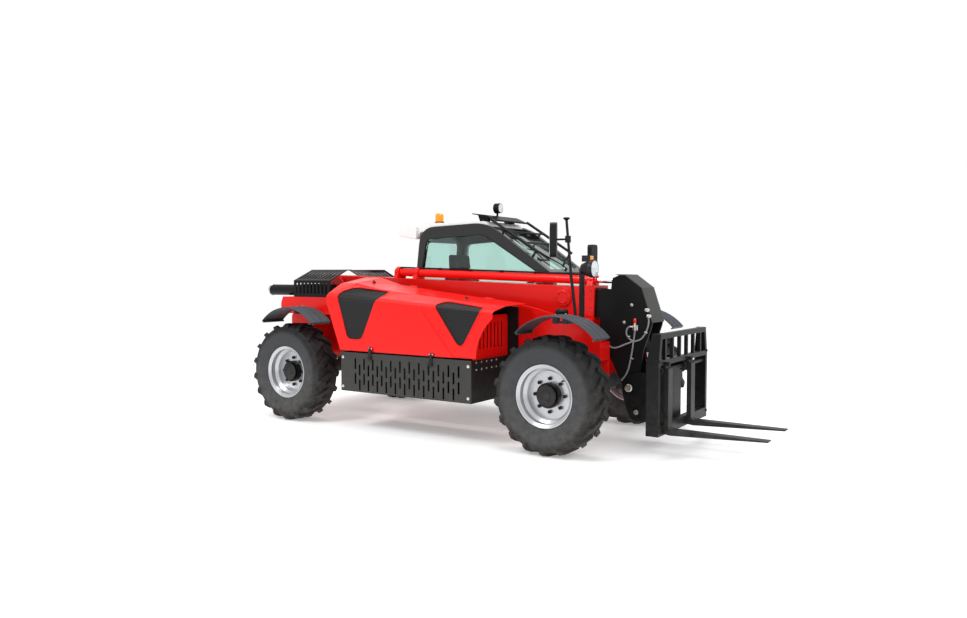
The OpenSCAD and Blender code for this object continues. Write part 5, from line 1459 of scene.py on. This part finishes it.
@dataclass
class Lamps(Assembly):
    """Lenses, reflectors and bezels of the lamps, and the mirrors' glass."""

    head: tuple[Place, ...] = ((1.760, -0.500, 1.625), (1.670, 0.500, 1.330))
    work: Place = (0.124, 0.555, 2.312)
    rear_x: float = -2.164
    tail_y: float = 0.525
    tail_z: float = 1.205
    bowl_profile: Flats = ((0.0, 0.002), (0.3, 0.003), (0.75, 0.006), (0.96, 0.011), (0.96, 0.0))
    lens_profile: Flats = ((0.0, 0.030), (0.35, 0.028), (0.7, 0.022), (0.98, 0.011), (0.98, 0.008),
                           (0.7, 0.018), (0.35, 0.024), (0.0, 0.026))
    bezel_profile: Flats = ((0.96, 0.0), (1.04, 0.0), (1.04, 0.014), (0.98, 0.016), (0.94, 0.012),
                            (0.96, 0.0))
    beacon_profile: Flats = ((0.046, 0.0), (0.056, 0.0), (0.056, 0.008), (0.050, 0.012), (0.046, 0.012),
                             (0.046, 0.0))
    knob_profile: Flats = ((0.0, 0.0), (0.015, 0.0), (0.020, 0.006), (0.030, 0.014), (0.030, 0.022),
                           (0.022, 0.026), (0.0, 0.028))

    def build(self) -> None:
        """Makes the lamps' pieces."""
        self.headlamps()
        self.tail_lamps()
        self.mirror_glass()

    def lens(self, glass: Shape, bowl: Shape, ring: Shape, face: Vector, radius: float) -> None:
        """A round lens with its reflector and bezel, facing forward.

        Args:
            glass: the lenses' mesh.
            bowl: the reflectors' mesh.
            ring: the bezels' mesh.
            face: the middle of the housing's front face.
            radius: the lens's radius.
        """
        for shape, sunk, profile in ((bowl, 0.001, self.bowl_profile), (glass, 0.0, self.lens_profile),
                                     (ring, 0.002, self.bezel_profile)):
            scaled = [(share * radius, height) for share, height in profile]
            shape.lathe(face - Vector((sunk, 0, 0)), (1, 0, 0), scaled, 36)

    def headlamps(self) -> None:
        """Lenses of the two headlamps, their indicators and the work lamp."""
        glass, bowl, ring, amber = Shape(), Shape(), Shape(), Shape()
        for place in self.head:
            p = self.at(*place)
            self.lens(glass, bowl, ring, p + Vector((0.033, 0, 0)), 0.076)
            amber.box(p + Vector((0.014, 0, 0.092)), (0.014, 0.052, 0.046), 0.005)
        self.lens(glass, bowl, ring, self.at(*self.work), 0.050)
        self.add(glass, "lamp_lenses", "clear_lens", Body.CHASSIS.value, "glass")
        self.add(bowl, "lamp_reflectors", "silver_mirror", Body.CHASSIS.value, "rod_chrome")
        self.add(ring, "lamp_bezels", "lamp_plastic", Body.CHASSIS.value, "lamp_plastic")
        self.add(amber, "indicator_lenses", "beacon_amber", Body.CHASSIS.value, "beacon_amber")

    def tail_lamps(self) -> None:
        """Red lenses of the tail lamps and the beacon's base ring."""
        shape = Shape()
        for side in (-1, 1):
            shape.box(self.at(self.rear_x, side * self.tail_y, self.tail_z), (0.008, 0.096, 0.056), 0.003)
        self.add(shape, "tail_lenses", "red_lens", Body.CHASSIS.value, "red_paint")
        ring = Shape()
        low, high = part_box("beacon")
        foot = Vector(((low.x + high.x) / 2, (low.y + high.y) / 2, low.z + 0.022))
        ring.lathe(foot, (0, 0, 1), self.beacon_profile, 36)
        self.add(ring, "beacon_ring", "lamp_plastic", Body.CHASSIS.value, "lamp_plastic")

    def mirror_glass(self) -> None:
        """Silvered faces of the two mirrors and the knob on the mirror post."""
        shape = Shape()
        upright = Matrix(((0, 0, 1, 0), (1, 0, 0, 0), (0, 1, 0, 0), (0, 0, 0, 1)))
        for x, y, turn, half_w, low, high, back in ((1.440, -0.600, 25.0, 0.076, 1.742, 2.033, 0.033),
                                                    (1.070, 0.960, 0.0, 0.066, 1.652, 1.888, 0.028)):
            outline = round_corners(((-half_w, low), (half_w, low), (half_w, high), (-half_w, high)), 0.045)
            turned = Matrix.Translation(self.at(x, y, 0.0)) @ Matrix.Rotation(math.radians(turn), 4, "Z")
            shape.plate(outline, 0.004, turned @ Matrix.Translation((-back, 0, 0)) @ upright, 0.001)
        self.add(shape, "mirror_glass", "silver_mirror", Body.CHASSIS.value, "rod_chrome")
        knob = Shape()
        knob.lathe(self.at(1.5705, -0.600, 2.060), (0, 0, 1), self.knob_profile, 24)
        self.add(knob, "mirror_knob", "cab_trim", Body.CHASSIS.value, "cab_trim")


@dataclass
class Chassis(Assembly):
    """Bolts and clamp of the mudguards, pin keepers of the frame and the exhaust's tip."""

    pivot: Flat = (-1.75, 1.416)
    fender_y: float = 0.795
    fender_x: tuple[float, ...] = (1.570, 1.670, -1.685, -1.585)
    clamp_spot: Flat = (1.620, -0.775)
    tail_pipe: Flat = (-0.500, 1.395)
    keeper_profile: Flats = ((0.0, 0.0), (0.046, 0.0), (0.046, 0.008), (0.040, 0.012), (0.0, 0.012))
    rim_profile: Flats = ((0.0565, 0.0), (0.064, 0.0), (0.067, 0.005), (0.067, 0.016), (0.0625, 0.020),
                          (0.0565, 0.020), (0.0565, 0.0))

    def build(self) -> None:
        """Makes the chassis's pieces."""
        self.fender_bolts()
        self.post_clamp()
        self.keepers()
        self.exhaust_tip()

    def fender_bolts(self) -> None:
        """Bolts that hold the mudguards on their arms."""
        shape = Shape()
        for x in self.fender_x:
            for side in (-1, 1):
                top = self.touch("fenders", self.at(x, side * self.fender_y, 2.0), (0, 0, -1))
                if top is not None:
                    shape.bolt(top, (0, 0, 1), 0.008)
        self.add(shape, "fender_bolts", "zinc", Body.CHASSIS.value, "grey_paint")

    def post_clamp(self) -> None:
        """Clamp that lies on the front right mudguard beside the mirror post."""
        top = self.touch("fenders", self.at(*self.clamp_spot, 2.0), (0, 0, -1))
        if top is None:
            return
        shape = Shape()
        shape.rod(top + Vector((-0.055, 0, 0.028)), top + Vector((0.055, 0, 0.028)), 0.024, 24, 0.004)
        shape.box(top + Vector((0, 0, 0.004)), (0.088, 0.050, 0.020), 0.003)
        for side in (-1, 1):
            shape.bolt(top + Vector((side * 0.030, 0, 0.051)), (0, 0, 1), 0.007)
        self.add(shape, "post_clamp", "black_paint", Body.CHASSIS.value, "black_paint")

    def keepers(self) -> None:
        """Keeper plates on the boom pivot's bosses."""
        shape = Shape()
        for side in (-1, 1):
            face = self.at(self.pivot[0], side * 0.197, self.pivot[1])
            shape.lathe(face, (0, side, 0), self.keeper_profile, 36)
            shape.bolt_ring(face + Vector((0, side * 0.011, 0)), (0, side, 0), 0.028, 3, 0.007)
        self.add(shape, "pivot_keepers", "zinc", Body.CHASSIS.value, "rod_chrome")

    def exhaust_tip(self) -> None:
        """Rolled rim of the tail pipe."""
        low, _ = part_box("exhaust")
        shape = Shape()
        shape.lathe(Vector((low.x + 0.001, *self.tail_pipe)), (1, 0, 0), self.rim_profile, 36)
        self.add(shape, "exhaust_rim", "zinc", Body.CHASSIS.value, "rod_chrome")


def main() -> None:
    """Builds the scene in order."""
    logging.basicConfig(level=logging.INFO, format="%(message)s")
    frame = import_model()
    layout = Layout()
    layout.measure()
    Studio().build(layout)
    shop = Paintshop()
    nodes = frame["nodes"]
    shop.paint_nodes(nodes, layout)
    for group in (EngineSide, Boom, Head, Carriage, Cab, Lamps, Chassis):
        group(layout, shop, nodes).build()
    for corner in Corner:
        Wheel(layout, shop, nodes, corner).build()


if __name__ == "__main__":
    main()
